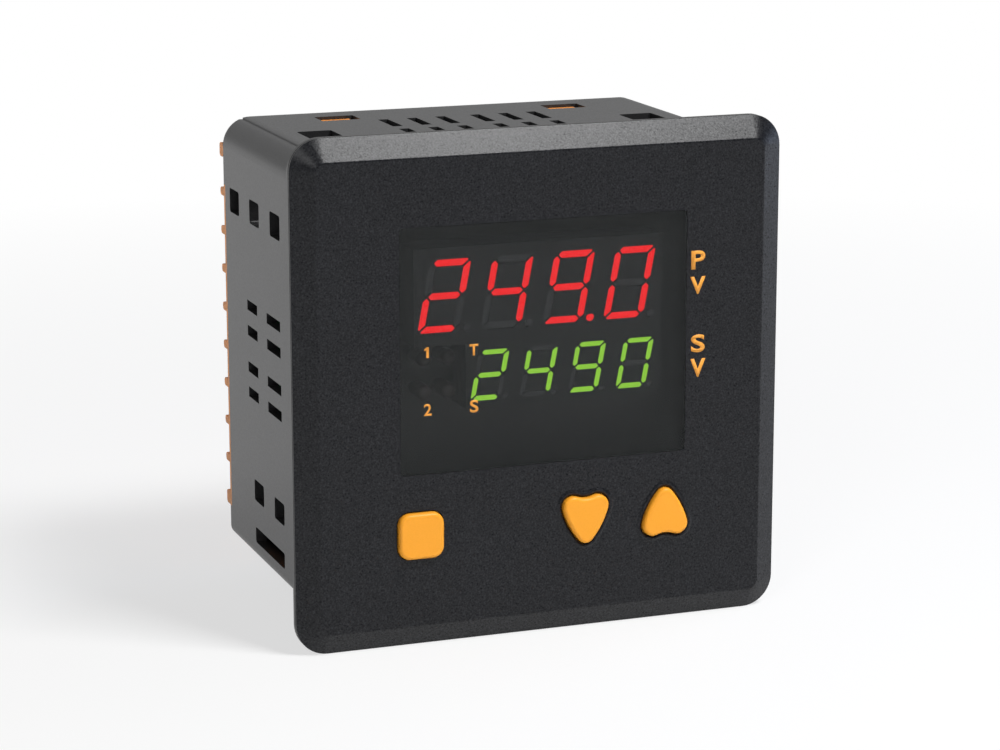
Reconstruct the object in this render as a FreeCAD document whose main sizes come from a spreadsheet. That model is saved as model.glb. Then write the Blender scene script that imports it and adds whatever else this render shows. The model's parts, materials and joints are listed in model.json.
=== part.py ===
import FreeCAD, Part
import math
import os
from operator import add, mul, sub, truediv
from types import SimpleNamespace

import Sketcher
from FreeCAD import Placement, Rotation, Vector

# Panel-mounted temperature controller, 96 x 96 mm front (1/4 DIN), short sleeve.
# Frame: X to the right seen from the front, Y into the panel, Z up, millimetres.
# The origin is the middle of the front flange's rear face, which is the plane of the panel.

# ---------------------------------------------------------------------------
# Driving dimensions. Heights and depths are distances from the origin's planes.
# ---------------------------------------------------------------------------
DIMENSIONS = [
    # front moulding
    ("bezel_size", 96.0, "side of the square front"),
    ("bezel_corner", 6.0, "outer corner radius of the front"),
    ("flange_thick", 1.0, "sleeve flange that lands on the panel"),
    ("parting_gap", 0.3, "height of the shadow line between flange and front moulding"),
    ("parting_inset", 0.4, "depth of that shadow line"),
    ("rim_height", 0.3, "straight side of the front moulding below its bevel"),
    ("bevel_width", 4.2, "width of the bevel seen from the front"),
    ("face_height", 4.0, "front face ahead of the panel plane"),
    ("face_corner", 1.8, "corner radius where bevel meets face"),
    ("crest_round", 0.8, "rounding of the edge between bevel and face"),
    ("fascia_wall", 1.6, "wall behind the front face"),
    ("collar_wall", 1.5, "locating collar that enters the sleeve"),
    ("collar_depth", 3.0, "reach of that collar behind the panel plane"),
    ("slip_gap", 0.3, "clearance between mouldings that plug together"),
    ("post_radius", 2.4, "posts that carry the boards"),
    ("post_inset_x", 4.5, "board post centres from the board's sides"),
    ("post_inset_z", 4.5, "board post centres from the board's top and bottom"),
    # window
    ("window_width", 56.5, "display window"),
    ("window_top", 31.1, "window top above the middle"),
    ("window_bottom", 14.9, "window bottom below the middle"),
    ("window_corner", 0.6, "window corner radius"),
    ("window_lip", 1.4, "lip of the lens behind the wall"),
    ("window_lip_thick", 0.8, "thickness of that lip"),
    ("window_gap", 0.05, "clearance round the lens"),
    # keys
    ("key_set_x", -24.6, "middle of the square key"),
    ("key_down_x", 8.0, "middle of the down key"),
    ("key_up_x", 24.2, "middle of the up key"),
    ("key_row_z", -26.4, "height of the key row"),
    ("key_width", 8.7, "side of the square key"),
    ("key_corner", 2.2, "corner radius of the square key"),
    ("heart_reach", 4.6, "middle of a heart key to its tip and to its lobes' tops"),
    ("heart_lobe_x", 2.45, "lobe centre from the key's middle line"),
    ("heart_lobe_radius", 2.1, "lobe radius"),
    ("heart_tip_radius", 1.7, "tip radius"),
    ("heart_side_radius", 16.0, "bowed side of a heart key"),
    ("heart_notch_radius", 4.5, "shallow notch between the lobes"),
    ("key_proud", 1.2, "key crown ahead of the face"),
    ("key_crown_round", 0.7, "rounded edge of the crown"),
    ("key_gap", 0.25, "gap between key and aperture"),
    ("key_skirt", 1.0, "retaining skirt beyond the key's outline"),
    ("key_skirt_thick", 1.0, "thickness of the skirt"),
    ("key_rest_gap", 0.2, "skirt behind the wall when the key is up"),
    ("key_post_radius", 1.7, "post on the back of a key"),
    ("key_halo_width", 1.1, "raised rim round a heart key's aperture"),
    ("key_halo_height", 0.25, "height of that rim"),
    # switches under the keys
    ("switch_size", 6.0, "side of a tactile switch"),
    ("switch_height", 3.5, "switch body on its board"),
    ("switch_floor", 0.7, "base of the switch under its plunger bore"),
    ("plunger_radius", 1.6, "switch plunger"),
    ("plunger_bore_gap", 0.2, "plunger clearance in the switch"),
    ("plunger_stand", 2.9, "plunger ahead of the switch body"),
    ("key_travel", 0.5, "travel of a key to its stop"),
    # displays
    ("display_right", 24.4, "right side of both display modules"),
    ("display_face", 1.0, "module faces ahead of the panel plane"),
    ("display_depth", 8.0, "thickness of both modules"),
    ("pv_width", 49.0, "upper module"),
    ("pv_height", 18.3, "upper module"),
    ("pv_top", 26.6, "upper module's top edge"),
    ("pv_digit", 13.5, "upper digit height"),
    ("pv_digit_width", 8.0, "upper digit width"),
    ("pv_pitch", 12.2, "upper digit pitch"),
    ("pv_stroke", 1.3, "upper segment width"),
    ("sv_width", 39.0, "lower module"),
    ("sv_height", 12.3, "lower module"),
    ("sv_digit", 9.5, "lower digit height"),
    ("sv_digit_width", 6.0, "lower digit width"),
    ("sv_pitch", 9.65, "lower digit pitch"),
    ("sv_stroke", 0.95, "lower segment width"),
    ("digit_slant", 10.8, "slant of the digits in degrees"),
    ("digit_shift", 0.25, "digits from their module's middle, to the left"),
    ("segment_gap", 0.3, "gap between neighbouring segments"),
    ("dot_gap", 0.3, "decimal point to its digit, at the digit's foot"),
    ("dot_share", 1.12, "decimal point's diameter in segment widths"),
    ("segment_depth", 0.5, "depth of the light-diffusing segments"),
    ("lamp_radius", 1.5, "indicator lamp"),
    ("lamp_length", 6.0, "indicator lamp with its dome"),
    ("lamp_column_gap", 2.3, "inner lamp column from the lower module"),
    ("lamp_pitch_x", 4.8, "between lamp columns"),
    ("lamp_pitch_z", 6.5, "between lamp rows"),
    # boards
    ("board_thick", 1.6, "every board"),
    ("board_edge_gap", 1.5, "upright boards to the sleeve's side walls"),
    ("board_end_gap", 2.4, "upright boards to the sleeve's top and bottom walls"),
    ("chip_size", 10.0, "processor package"),
    ("chip_thick", 1.4, "processor package"),
    ("base_board_rise", 3.5, "base board above the sleeve's floor"),
    ("base_board_front", 10.5, "front edge of the base board"),
    ("base_edge_gap", 0.3, "base board to the sleeve's side walls"),
    ("ledge_width", 1.8, "ledges under the base board"),
    ("ledge_thick", 1.5, "ledges under the base board"),
    ("ledge_length", 6.0, "each ledge"),
    # sleeve
    ("case_width", 89.0, "sleeve behind the panel"),
    ("case_top", 44.0, "sleeve top above the middle"),
    ("case_bottom", 40.5, "sleeve bottom below the middle"),
    ("case_depth", 56.0, "sleeve behind the panel plane"),
    ("case_wall", 2.0, "sleeve wall"),
    ("case_top_corner", 5.5, "upper edges of the sleeve"),
    ("case_bottom_corner", 2.2, "lower edges of the sleeve"),
    ("groove_inset", 3.7, "top grooves from the sleeve's sides"),
    ("groove_width", 0.8, "top grooves"),
    ("groove_depth", 0.45, "top grooves"),
    # windows in the side walls
    ("port_width", 6.6, "side windows along the depth"),
    ("port_height", 4.7, "upper side windows"),
    ("port_front", 20.4, "middle of the foremost window"),
    ("port_pitch", 14.0, "between side windows"),
    ("port_high_z", 28.6, "upper side windows"),
    ("port_low_z", -26.3, "lower side windows"),
    ("port_low_height", 4.2, "lower side windows"),
    ("port_high_count", 3.0, "upper side windows in a row"),
    ("port_low_count", 2.0, "lower side windows in a row"),
    ("port_corner", 0.6, "corner radius of windows"),
    ("slit_height", 2.0, "small side slots"),
    ("slit_mid_z", 1.3, "middle of the slot group"),
    ("slit_pitch", 5.0, "slot pitch inside a pair"),
    ("slit_pair_pitch", 12.2, "between the pairs"),
    ("slit_pair_count", 2.0, "pairs, one above the other"),
    ("slit_front_start", 17.8, "front slots, near end"),
    ("slit_front_length", 9.1, "front slots"),
    ("slit_rear_start", 33.5, "rear slots, near end"),
    ("slit_rear_length", 6.9, "rear slots"),
    ("long_slot_start", 17.4, "long slot beside the base board"),
    ("long_slot_length", 20.0, "long slot beside the base board"),
    ("long_slot_height", 3.1, "long slot beside the base board"),
    ("long_slot_lift", 3.6, "long slot above the sleeve's underside"),
    # windows in the top and bottom walls
    ("vent_width", 2.0, "vent slots"),
    ("vent_length", 9.5, "vent slots"),
    ("vent_pitch", 5.85, "inside a group"),
    ("vent_group_count", 3.0, "slots in a group"),
    ("vent_group_gap", 7.2, "between the middle vents"),
    ("vent_front_start", 20.5, "front row, near end"),
    ("vent_row_gap", 3.4, "between the two rows"),
    ("vent_shift", -0.6, "vent field's middle from the sleeve's"),
    ("clamp_slot_x", 32.9, "mounting clamp windows"),
    ("clamp_slot_width", 6.8, "mounting clamp windows"),
    ("clamp_slot_start", 24.0, "mounting clamp windows, near end"),
    ("clamp_slot_length", 9.0, "mounting clamp windows"),
    ("latch_x", 23.6, "cover latches"),
    ("latch_window_width", 7.8, "windows for the cover latches"),
    ("latch_window_start", 45.0, "windows for the cover latches, near end"),
    ("latch_window_length", 5.5, "windows for the cover latches"),
    # terminal cover
    ("cover_thick", 3.5, "cover inside the sleeve's rear end"),
    ("cover_skin", 1.5, "wall left where the cover is hollowed"),
    ("cover_lip", 1.0, "side lips let into the sleeve's rear edge"),
    ("cover_lip_top", 30.9, "upper end of the side lips"),
    ("latch_width", 6.2, "cover latches"),
    ("latch_thick", 1.5, "latch arms"),
    ("latch_reach", 6.0, "latch arms ahead of the cover"),
    ("latch_hook_length", 3.7, "hook along the depth"),
    ("latch_hook_drop", 0.6, "hook below the sleeve's outer face"),
    ("latch_ramp", 1.0, "ramp on the hook"),
    ("terminal_pitch", 7.7, "terminal pitch"),
    ("terminal_mid_z", 2.4, "middle of a terminal column"),
    ("terminal_count", 9.0, "terminals in a column"),
    ("barrier_thick", 1.6, "barrier ribs"),
    ("barrier_end_thick", 2.7, "ribs at the column ends"),
    ("barrier_height", 2.6, "ribs behind the sleeve's rear edge"),
    ("barrier_round", 0.7, "rounded rib tips"),
    ("well_side_wall", 1.0, "cover wall outside the wells"),
    ("well_width", 11.5, "terminal well across the unit"),
    ("well_depth", 2.0, "terminal well below the cover's rear face"),
    ("tab_thick", 0.8, "terminal tabs"),
    ("tab_gap", 0.25, "tab to the well's walls"),
    ("tab_leg_width", 2.0, "solder legs"),
    ("tab_leg_gap", 0.2, "leg clearance in cover and board"),
    ("clamp_length", 6.4, "clamp washers"),
    ("clamp_thick", 0.8, "clamp washers"),
    ("screw_radius", 1.45, "terminal screw shank"),
    ("screw_hole_gap", 0.1, "screw clearance in tab, washer and cover"),
    ("screw_head_radius", 2.6, "terminal screw head"),
    ("screw_head_height", 1.9, "terminal screw head"),
    ("screw_length", 5.6, "terminal screw under its head"),
    ("terminal_board_gap", 4.0, "terminal board ahead of the cover"),
    # parts on the boards
    ("relay_width", 19.0, "output relay"),
    ("relay_height", 15.5, "output relay"),
    ("relay_depth", 15.3, "output relay"),
    ("relay_x", 12.5, "relays from the middle"),
    ("relay_z", 20.0, "relays above the middle"),
    ("core_length", 19.0, "transformer core"),
    ("core_height", 16.0, "transformer core"),
    ("core_thick", 5.0, "transformer core"),
    ("core_limb", 5.0, "middle limb of the core"),
    ("winding_size", 12.4, "transformer winding"),
    ("winding_length", 11.0, "transformer winding"),
    ("core_x", -24.0, "transformer"),
    ("core_y", 28.0, "transformer"),
    ("bulk_radius", 6.3, "input capacitor"),
    ("bulk_height", 20.0, "input capacitor"),
    ("bulk_x", 2.0, "input capacitor"),
    ("filter_radius", 4.0, "output capacitor"),
    ("filter_height", 12.0, "output capacitor"),
    ("filter_x", 18.0, "output capacitor"),
    ("supply_row_y", 30.0, "capacitors along the depth"),
    ("header_pitch", 2.54, "pin headers"),
    ("header_pins", 8.0, "pins in a header"),
    ("header_pin", 0.64, "pin section"),
    ("header_body", 2.5, "header strip section"),
    ("header_rise", 1.5, "pins' level run above the strip"),
    ("front_header_x", 22.0, "header to the display board"),
    ("rear_header_x", -6.0, "header to the terminal board"),
]

doc = FreeCAD.newDocument("temperature_controller")
sheet = doc.addObject("Spreadsheet::Sheet", "sizes")
for row, (alias, value, note) in enumerate(DIMENSIONS, start=1):
    sheet.set("A%d" % row, note)
    sheet.set("B%d" % row, str(value))
    sheet.setAlias("B%d" % row, alias)
doc.recompute()


# ---------------------------------------------------------------------------
# A size carries its value and the sheet formula behind it.
# ---------------------------------------------------------------------------
class Size:
    """A length that knows its sheet formula, so features can be bound to it."""

    def __init__(self, formula, value):
        self.formula = formula
        self.value = value

    def _combine(self, other, sign, operate, swapped=False):
        if not isinstance(other, Size):
            other = Size(repr(float(other)), float(other))
        first, second = (other, self) if swapped else (self, other)
        formula = "(%s %s %s)" % (first.formula, sign, second.formula)
        return Size(formula, operate(first.value, second.value))

    def __add__(self, other):
        return self._combine(other, "+", add)

    def __radd__(self, other):
        return self._combine(other, "+", add, swapped=True)

    def __sub__(self, other):
        return self._combine(other, "-", sub)

    def __rsub__(self, other):
        return self._combine(other, "-", sub, swapped=True)

    def __mul__(self, other):
        return self._combine(other, "*", mul)

    def __rmul__(self, other):
        return self._combine(other, "*", mul, swapped=True)

    def __truediv__(self, other):
        return self._combine(other, "/", truediv)

    def __neg__(self):
        return 0 - self


D = SimpleNamespace()
for alias, value, note in DIMENSIONS:
    setattr(D, alias, Size("sizes." + alias, float(sheet.get(alias))))
ZERO = Size("0", 0.0)


# ---------------------------------------------------------------------------
# Modelling helpers
# ---------------------------------------------------------------------------
def bind(feature, prop, size):
    """Tie one property of a feature to a size."""
    feature.setExpression(prop, size.formula)


def new_body(name):
    """Body whose label is the node's name."""
    body = doc.addObject("PartDesign::Body", name + "_body")
    body.Label = name
    return body


def new_sketch(body, name, role, offset=None):
    """Sketch on one of the body's origin planes, moved along that plane's normal."""
    plane = [item for item in body.Origin.OriginFeatures if item.Role == role][0]
    sketch = body.newObject("Sketcher::SketchObject", name)
    sketch.AttachmentSupport = (plane, [""])
    sketch.MapMode = "FlatFace"
    if offset is not None:
        bind(sketch, "AttachmentOffset.Base.z", offset)
    return sketch


def facing_panel(body, name, y):
    """Sketch parallel to the panel at depth y: its axes are X and Z, its normal is -Y."""
    return new_sketch(body, name, "XZ_Plane", -y)


def constrain(sketch, kind, *spec):
    """Add a constraint, bound to a size where its last argument is one."""
    size = spec[-1]
    if isinstance(size, Size):
        index = sketch.addConstraint(Sketcher.Constraint(kind, *spec[:-1], size.value))
        sketch.setExpression("Constraints[%d]" % index, size.formula)
    else:
        sketch.addConstraint(Sketcher.Constraint(kind, *spec))


def add_rectangle(sketch, left, right, low, high):
    """Rectangle with its four sides at bound places."""
    corners = [(left, low), (right, low), (right, high), (left, high)]
    add_polygon(sketch, corners)


def add_polygon(sketch, corners):
    """Closed outline through bound corners."""
    points = [Vector(across.value, up.value, 0) for across, up in corners]
    first = sketch.GeometryCount
    count = len(points)
    for index in range(count):
        sketch.addGeometry(Part.LineSegment(points[index], points[(index + 1) % count]))
    for index, (across, up) in enumerate(corners):
        line = first + index
        constrain(sketch, "Coincident", first + (index - 1) % count, 2, line, 1)
        constrain(sketch, "DistanceX", -1, 1, line, 1, across)
        constrain(sketch, "DistanceY", -1, 1, line, 1, up)


def add_rounded(sketch, left, right, low, high, radius_high, radius_low=None):
    """Rectangle with tangent corner arcs, the lower pair with a radius of its own."""
    radius_low = radius_low or radius_high
    l, r, b, t = left.value, right.value, low.value, high.value
    up, down = radius_high.value, radius_low.value
    first = sketch.GeometryCount
    lines = [
        (Vector(l + down, b, 0), Vector(r - down, b, 0)),
        (Vector(r, b + down, 0), Vector(r, t - up, 0)),
        (Vector(r - up, t, 0), Vector(l + up, t, 0)),
        (Vector(l, t - up, 0), Vector(l, b + down, 0)),
    ]
    arcs = [
        (Vector(r - down, b + down, 0), down, radius_low),
        (Vector(r - up, t - up, 0), up, radius_high),
        (Vector(l + up, t - up, 0), up, radius_high),
        (Vector(l + down, b + down, 0), down, radius_low),
    ]
    for quarter in range(4):
        start = (quarter - 1) * math.pi / 2
        centre, radius, size = arcs[quarter]
        sketch.addGeometry(Part.LineSegment(*lines[quarter]))
        circle = Part.Circle(centre, Vector(0, 0, 1), radius)
        sketch.addGeometry(Part.ArcOfCircle(circle, start, start + math.pi / 2))
    for quarter in range(4):
        line = first + 2 * quarter
        arc = line + 1
        after = first + (2 * quarter + 2) % 8
        constrain(sketch, "Tangent", line, 2, arc, 1)
        constrain(sketch, "Tangent", arc, 2, after, 1)
        constrain(sketch, "Horizontal" if quarter % 2 == 0 else "Vertical", line)
        constrain(sketch, "Radius", arc, arcs[quarter][2])
    constrain(sketch, "DistanceY", -1, 1, first, 1, low)
    constrain(sketch, "DistanceX", -1, 1, first + 2, 1, right)
    constrain(sketch, "DistanceY", -1, 1, first + 4, 1, high)
    constrain(sketch, "DistanceX", -1, 1, first + 6, 1, left)


def add_circle(sketch, across, up, radius):
    """Circle with bound centre and radius."""
    first = sketch.GeometryCount
    centre = Vector(across.value, up.value, 0)
    sketch.addGeometry(Part.Circle(centre, Vector(0, 0, 1), radius.value))
    constrain(sketch, "DistanceX", -1, 1, first, 3, across)
    constrain(sketch, "DistanceY", -1, 1, first, 3, up)
    constrain(sketch, "Radius", first, radius)


def extrude(body, kind, name, sketch, length, reverse):
    """Pad or pocket of a sketch by a bound length; reverse sends a pad towards +normal's back."""
    feature = body.newObject("PartDesign::" + kind, name)
    feature.Profile = sketch
    bind(feature, "Length", length)
    feature.Reversed = reverse
    sketch.Visibility = False
    return feature


def pad(body, name, sketch, length, reverse=False):
    return extrude(body, "Pad", name, sketch, length, reverse)


def pocket(body, name, sketch, length, reverse=False):
    return extrude(body, "Pocket", name, sketch, length, reverse)


def pocket_through(body, name, sketch):
    """Pocket through everything on both sides of its sketch."""
    feature = body.newObject("PartDesign::Pocket", name)
    feature.Profile = sketch
    feature.Midplane = True
    feature.Type = 1
    sketch.Visibility = False
    return feature


def repeat(body, name, features, role, pitch, count):
    """Repeat features along one of the body's origin axes."""
    axis = [item for item in body.Origin.OriginFeatures if item.Role == role][0]
    pattern = body.newObject("PartDesign::LinearPattern", name)
    pattern.Originals = features
    pattern.Direction = (axis, [""])
    bind(pattern, "Length", pitch * (count - 1))
    bind(pattern, "Occurrences", count)
    body.Tip = pattern
    return pattern


def make_box(name, left, right, front, back, low, high):
    """Part box between bound planes."""
    box = doc.addObject("Part::Box", name)
    bind(box, "Length", right - left)
    bind(box, "Width", back - front)
    bind(box, "Height", high - low)
    bind(box, "Placement.Base.x", left)
    bind(box, "Placement.Base.y", front)
    bind(box, "Placement.Base.z", low)
    return box


def make_rod(name, x, z, front, back, radius):
    """Part cylinder along the depth."""
    rod = doc.addObject("Part::Cylinder", name)
    rod.Placement = Placement(Vector(), Rotation(Vector(1, 0, 0), -90))
    bind(rod, "Radius", radius)
    bind(rod, "Height", back - front)
    bind(rod, "Placement.Base.x", x)
    bind(rod, "Placement.Base.y", front)
    bind(rod, "Placement.Base.z", z)
    return rod


def make_can(name, x, y, low, high, radius):
    """Part cylinder that stands upright."""
    can = doc.addObject("Part::Cylinder", name)
    bind(can, "Radius", radius)
    bind(can, "Height", high - low)
    bind(can, "Placement.Base.x", x)
    bind(can, "Placement.Base.y", y)
    bind(can, "Placement.Base.z", low)
    return can


def make_fuse(name, parts):
    fused = doc.addObject("Part::MultiFuse", name)
    fused.Shapes = parts
    return fused


def make_cut(name, base, tool):
    cut = doc.addObject("Part::Cut", name)
    cut.Base = base
    cut.Tool = tool
    return cut


def make_group(name, parts):
    """Separate solids that share one node."""
    group = doc.addObject("Part::Compound", name)
    group.Links = parts
    return group


def make_shape(name, shape):
    feature = doc.addObject("Part::Feature", name)
    feature.Shape = shape
    return feature


# ---------------------------------------------------------------------------
# Places that several pieces share
# ---------------------------------------------------------------------------
half_bezel = D.bezel_size / 2
face_y = -D.face_height
wall_back_y = face_y + D.fascia_wall
rim_back_y = -(D.flange_thick + D.parting_gap)
rim_front_y = rim_back_y - D.rim_height

half_case = D.case_width / 2
inner_right = half_case - D.case_wall
inner_top = D.case_top - D.case_wall
inner_floor = D.case_wall - D.case_bottom
inner_top_corner = D.case_top_corner - D.case_wall
inner_low_corner = D.case_bottom_corner - D.case_wall

plug_right = inner_right - D.slip_gap
plug_top = inner_top - D.slip_gap
plug_floor = inner_floor + D.slip_gap

board_right = inner_right - D.board_edge_gap
board_top = inner_top - D.board_end_gap
board_floor = inner_floor + D.board_end_gap
display_board_y = D.display_depth - D.display_face
display_board_back = display_board_y + D.board_thick
base_board_low = inner_floor + D.base_board_rise
base_board_high = base_board_low + D.board_thick

cover_front_y = D.case_depth - D.cover_thick
terminal_board_back = cover_front_y - D.terminal_board_gap
terminal_board_front = terminal_board_back - D.board_thick

post_x = board_right - D.post_inset_x
post_high = board_top - D.post_inset_z
post_low = board_floor + D.post_inset_z

KEYS = {"set": D.key_set_x, "down": D.key_down_x, "up": D.key_up_x}
COLUMN_SIDES = {"left": -1, "right": 1}


# ---------------------------------------------------------------------------
# Key outlines: a rounded square, and a heart bounded by tangent arcs
# ---------------------------------------------------------------------------
def rounded_square_outline(grow):
    """Rounded square about the origin in the XZ plane, grown by a parallel distance."""
    half = D.key_width.value / 2 + grow
    radius = D.key_corner.value + grow
    box = Part.makeBox(2 * half, 1, 2 * half, Vector(-half, 0, -half))
    upright = [edge for edge in box.Edges if abs(edge.tangentAt(edge.FirstParameter).y) > 0.9]
    rounded = box.makeFillet(radius, upright)
    front = [face for face in rounded.Faces if face.CenterOfMass.y < 1e-6][0]
    return front.OuterWire


def circle_meet(first, first_radius, second, second_radius, side):
    """Point where two circles in the XZ plane meet, on the given side of their centre line."""
    span = second - first
    length = span.Length
    along = (first_radius ** 2 - second_radius ** 2 + length ** 2) / (2 * length)
    height = math.sqrt(max(first_radius ** 2 - along ** 2, 0.0))
    direction = span / length
    across = Vector(-direction.z, 0, direction.x)
    return first + direction * along + across * (side * height)


def arc_between(centre, radius, start, end, bulge):
    """Arc from start to end about a centre, through the point that lies towards bulge."""
    middle = centre + (bulge - centre).normalize() * radius
    return Part.Arc(start, middle, end).toShape()


def heart_outline(grow):
    """Heart about the origin in the XZ plane, tip down, grown by a parallel distance."""
    reach = D.heart_reach.value
    lobe_radius = D.heart_lobe_radius.value + grow
    tip_radius = D.heart_tip_radius.value + grow
    side_radius = D.heart_side_radius.value + grow
    notch_radius = D.heart_notch_radius.value - grow
    tip = Vector(0, 0, D.heart_tip_radius.value - reach)
    lobe_z = reach - D.heart_lobe_radius.value
    lobes = [Vector(side * D.heart_lobe_x.value, 0, lobe_z) for side in (-1, 1)]
    notch_rise = math.sqrt((lobe_radius + notch_radius) ** 2 - lobes[1].x ** 2)
    notch = Vector(0, 0, lobe_z + notch_rise)
    # each bowed side touches the tip circle and its lobe circle from outside
    bows = [
        circle_meet(tip, side_radius - tip_radius, lobe, side_radius - lobe_radius, side)
        for lobe, side in zip(lobes, (-1, 1))
    ]

    def touch(centre, point, radius):
        return centre + (point - centre).normalize() * radius

    tip_ends = [touch(bow, tip, side_radius) for bow in bows]
    lobe_sides = [touch(bow, lobe, side_radius) for bow, lobe in zip(bows, lobes)]
    lobe_tops = [touch(lobe, notch, lobe_radius) for lobe in lobes]
    edges = [arc_between(tip, tip_radius, tip_ends[0], tip_ends[1], tip - Vector(0, 0, 1))]
    for side in (0, 1):
        bow_middle = (tip_ends[side] + lobe_sides[side]) / 2
        edges.append(arc_between(bows[side], side_radius, tip_ends[side], lobe_sides[side], bow_middle))
        outward = lobes[side] + Vector((-1, 1)[side], 0, 1)
        edges.append(arc_between(lobes[side], lobe_radius, lobe_sides[side], lobe_tops[side], outward))
    edges.append(arc_between(notch, notch_radius, lobe_tops[0], lobe_tops[1], notch - Vector(0, 0, 1)))
    return Part.Wire(Part.__sortEdges__(edges))


def key_outline(key, grow=0.0):
    """A key's outline at its place, on the plane y = 0."""
    if key == "set":
        wire = rounded_square_outline(grow)
    else:
        wire = heart_outline(grow)
        if key == "up":
            wire.rotate(Vector(), Vector(0, 1, 0), 180)
    wire.translate(Vector(KEYS[key].value, 0, D.key_row_z.value))
    return wire


def key_prism(key, front, back, grow=0.0):
    """Solid between two depths with a key's outline."""
    face = Part.Face(key_outline(key, grow))
    face.translate(Vector(0, front.value, 0))
    return face.extrude(Vector(0, (back - front).value, 0))


# ---------------------------------------------------------------------------
# Front moulding
# ---------------------------------------------------------------------------
def build_fascia():
    """Bevelled front with its collar, window aperture, key apertures and board posts."""
    body = new_body("fascia_moulding")
    half_rear = half_bezel - D.parting_inset
    rear = facing_panel(body, "fascia_rear", rim_back_y)
    add_rounded(rear, -half_rear, half_rear, -half_rear, half_rear, D.bezel_corner - D.parting_inset)
    pad(body, "fascia_land", rear, D.parting_gap, reverse=True)
    rim = facing_panel(body, "fascia_rim", rim_back_y)
    add_rounded(rim, -half_bezel, half_bezel, -half_bezel, half_bezel, D.bezel_corner)
    pad(body, "fascia_edge", rim, D.rim_height)

    low = facing_panel(body, "bevel_foot", rim_front_y)
    add_rounded(low, -half_bezel, half_bezel, -half_bezel, half_bezel, D.bezel_corner)
    half_face = half_bezel - D.bevel_width
    high = facing_panel(body, "bevel_crest", face_y)
    add_rounded(high, -half_face, half_face, -half_face, half_face, D.face_corner)
    bevel = body.newObject("PartDesign::AdditiveLoft", "bevel")
    bevel.Profile = low
    bevel.Sections = [high]
    doc.recompute()
    crest = [
        "Edge%d" % (index + 1)
        for index, edge in enumerate(bevel.Shape.Edges)
        if abs(edge.BoundBox.YMin - face_y.value) < 1e-4 and abs(edge.BoundBox.YMax - face_y.value) < 1e-4
    ]
    rounding = body.newObject("PartDesign::Fillet", "crest_rounding")
    rounding.Base = (bevel, crest)
    bind(rounding, "Radius", D.crest_round)

    collar = facing_panel(body, "collar_outline", -D.flange_thick)
    add_rounded(collar, -plug_right, plug_right, plug_floor, plug_top, inner_top_corner, D.case_wall / 4)
    pad(body, "collar", collar, D.flange_thick + D.collar_depth, reverse=True)
    hollow = facing_panel(body, "hollow_outline", D.collar_depth)
    hollow_right = plug_right - D.collar_wall
    add_rectangle(hollow, -hollow_right, hollow_right, plug_floor + D.collar_wall, plug_top - D.collar_wall)
    pocket(body, "hollow", hollow, D.collar_depth - wall_back_y, reverse=True)

    half_window = D.window_width / 2
    opening = facing_panel(body, "window_outline", ZERO)
    add_rounded(
        opening,
        -(half_window + D.window_gap),
        half_window + D.window_gap,
        -(D.window_bottom + D.window_gap),
        D.window_top + D.window_gap,
        D.window_corner,
    )
    pocket_through(body, "window_aperture", opening)
    lip = D.window_lip + D.window_gap
    rebate = facing_panel(body, "rebate_outline", wall_back_y)
    add_rectangle(
        rebate, -(half_window + lip), half_window + lip, -(D.window_bottom + lip), D.window_top + lip
    )
    pocket(body, "window_rebate", rebate, D.window_lip_thick, reverse=True)

    posts = facing_panel(body, "post_outline", wall_back_y)
    for x in (-post_x, post_x):
        for z in (post_low, post_high):
            add_circle(posts, x, z, D.post_radius)
    pad(body, "board_posts", posts, display_board_y - wall_back_y, reverse=True)
    doc.recompute()

    halos = [
        key_prism(key, face_y - D.key_halo_height, wall_back_y, (D.key_gap + D.key_halo_width).value)
        for key in ("down", "up")
    ]
    for index, halo in enumerate(halos):
        front_edges = [edge for edge in halo.Edges if edge.BoundBox.YMax < (face_y - 0.01).value]
        halos[index] = halo.makeChamfer(D.key_halo_height.value * 0.9, front_edges)
    rims = make_group("key_rims", [make_shape("key_rim_%d" % index, halo) for index, halo in enumerate(halos)])
    apertures = make_group(
        "key_apertures",
        [
            make_shape(key + "_aperture", key_prism(key, face_y * 2, -D.flange_thick, D.key_gap.value))
            for key in KEYS
        ],
    )
    with_rims = make_fuse("fascia_with_rims", [body, rims])
    fascia = make_cut("fascia", with_rims, apertures)
    fascia.Label = "front_fascia"
    return fascia


def build_window():
    """Smoked lens, flush with the face, held by a lip behind the wall."""
    body = new_body("display_window")
    half = D.window_width / 2
    pane = facing_panel(body, "pane_outline", face_y)
    add_rounded(pane, -half, half, -D.window_bottom, D.window_top, D.window_corner)
    pad(body, "pane", pane, D.fascia_wall, reverse=True)
    lip = facing_panel(body, "lip_outline", wall_back_y)
    reach = half + D.window_lip
    add_rectangle(lip, -reach, reach, -(D.window_bottom + D.window_lip), D.window_top + D.window_lip)
    pad(body, "pane_lip", lip, D.window_lip_thick)
    return body


# ---------------------------------------------------------------------------
# Keys and their switches
# ---------------------------------------------------------------------------
skirt_front_y = wall_back_y + D.key_rest_gap
skirt_back_y = skirt_front_y + D.key_skirt_thick
switch_front_y = display_board_y - D.switch_height
plunger_front_y = switch_front_y - D.plunger_stand
bore_back_y = display_board_y - D.switch_floor
plunger_back_y = bore_back_y - D.key_travel - D.plunger_bore_gap


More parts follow.
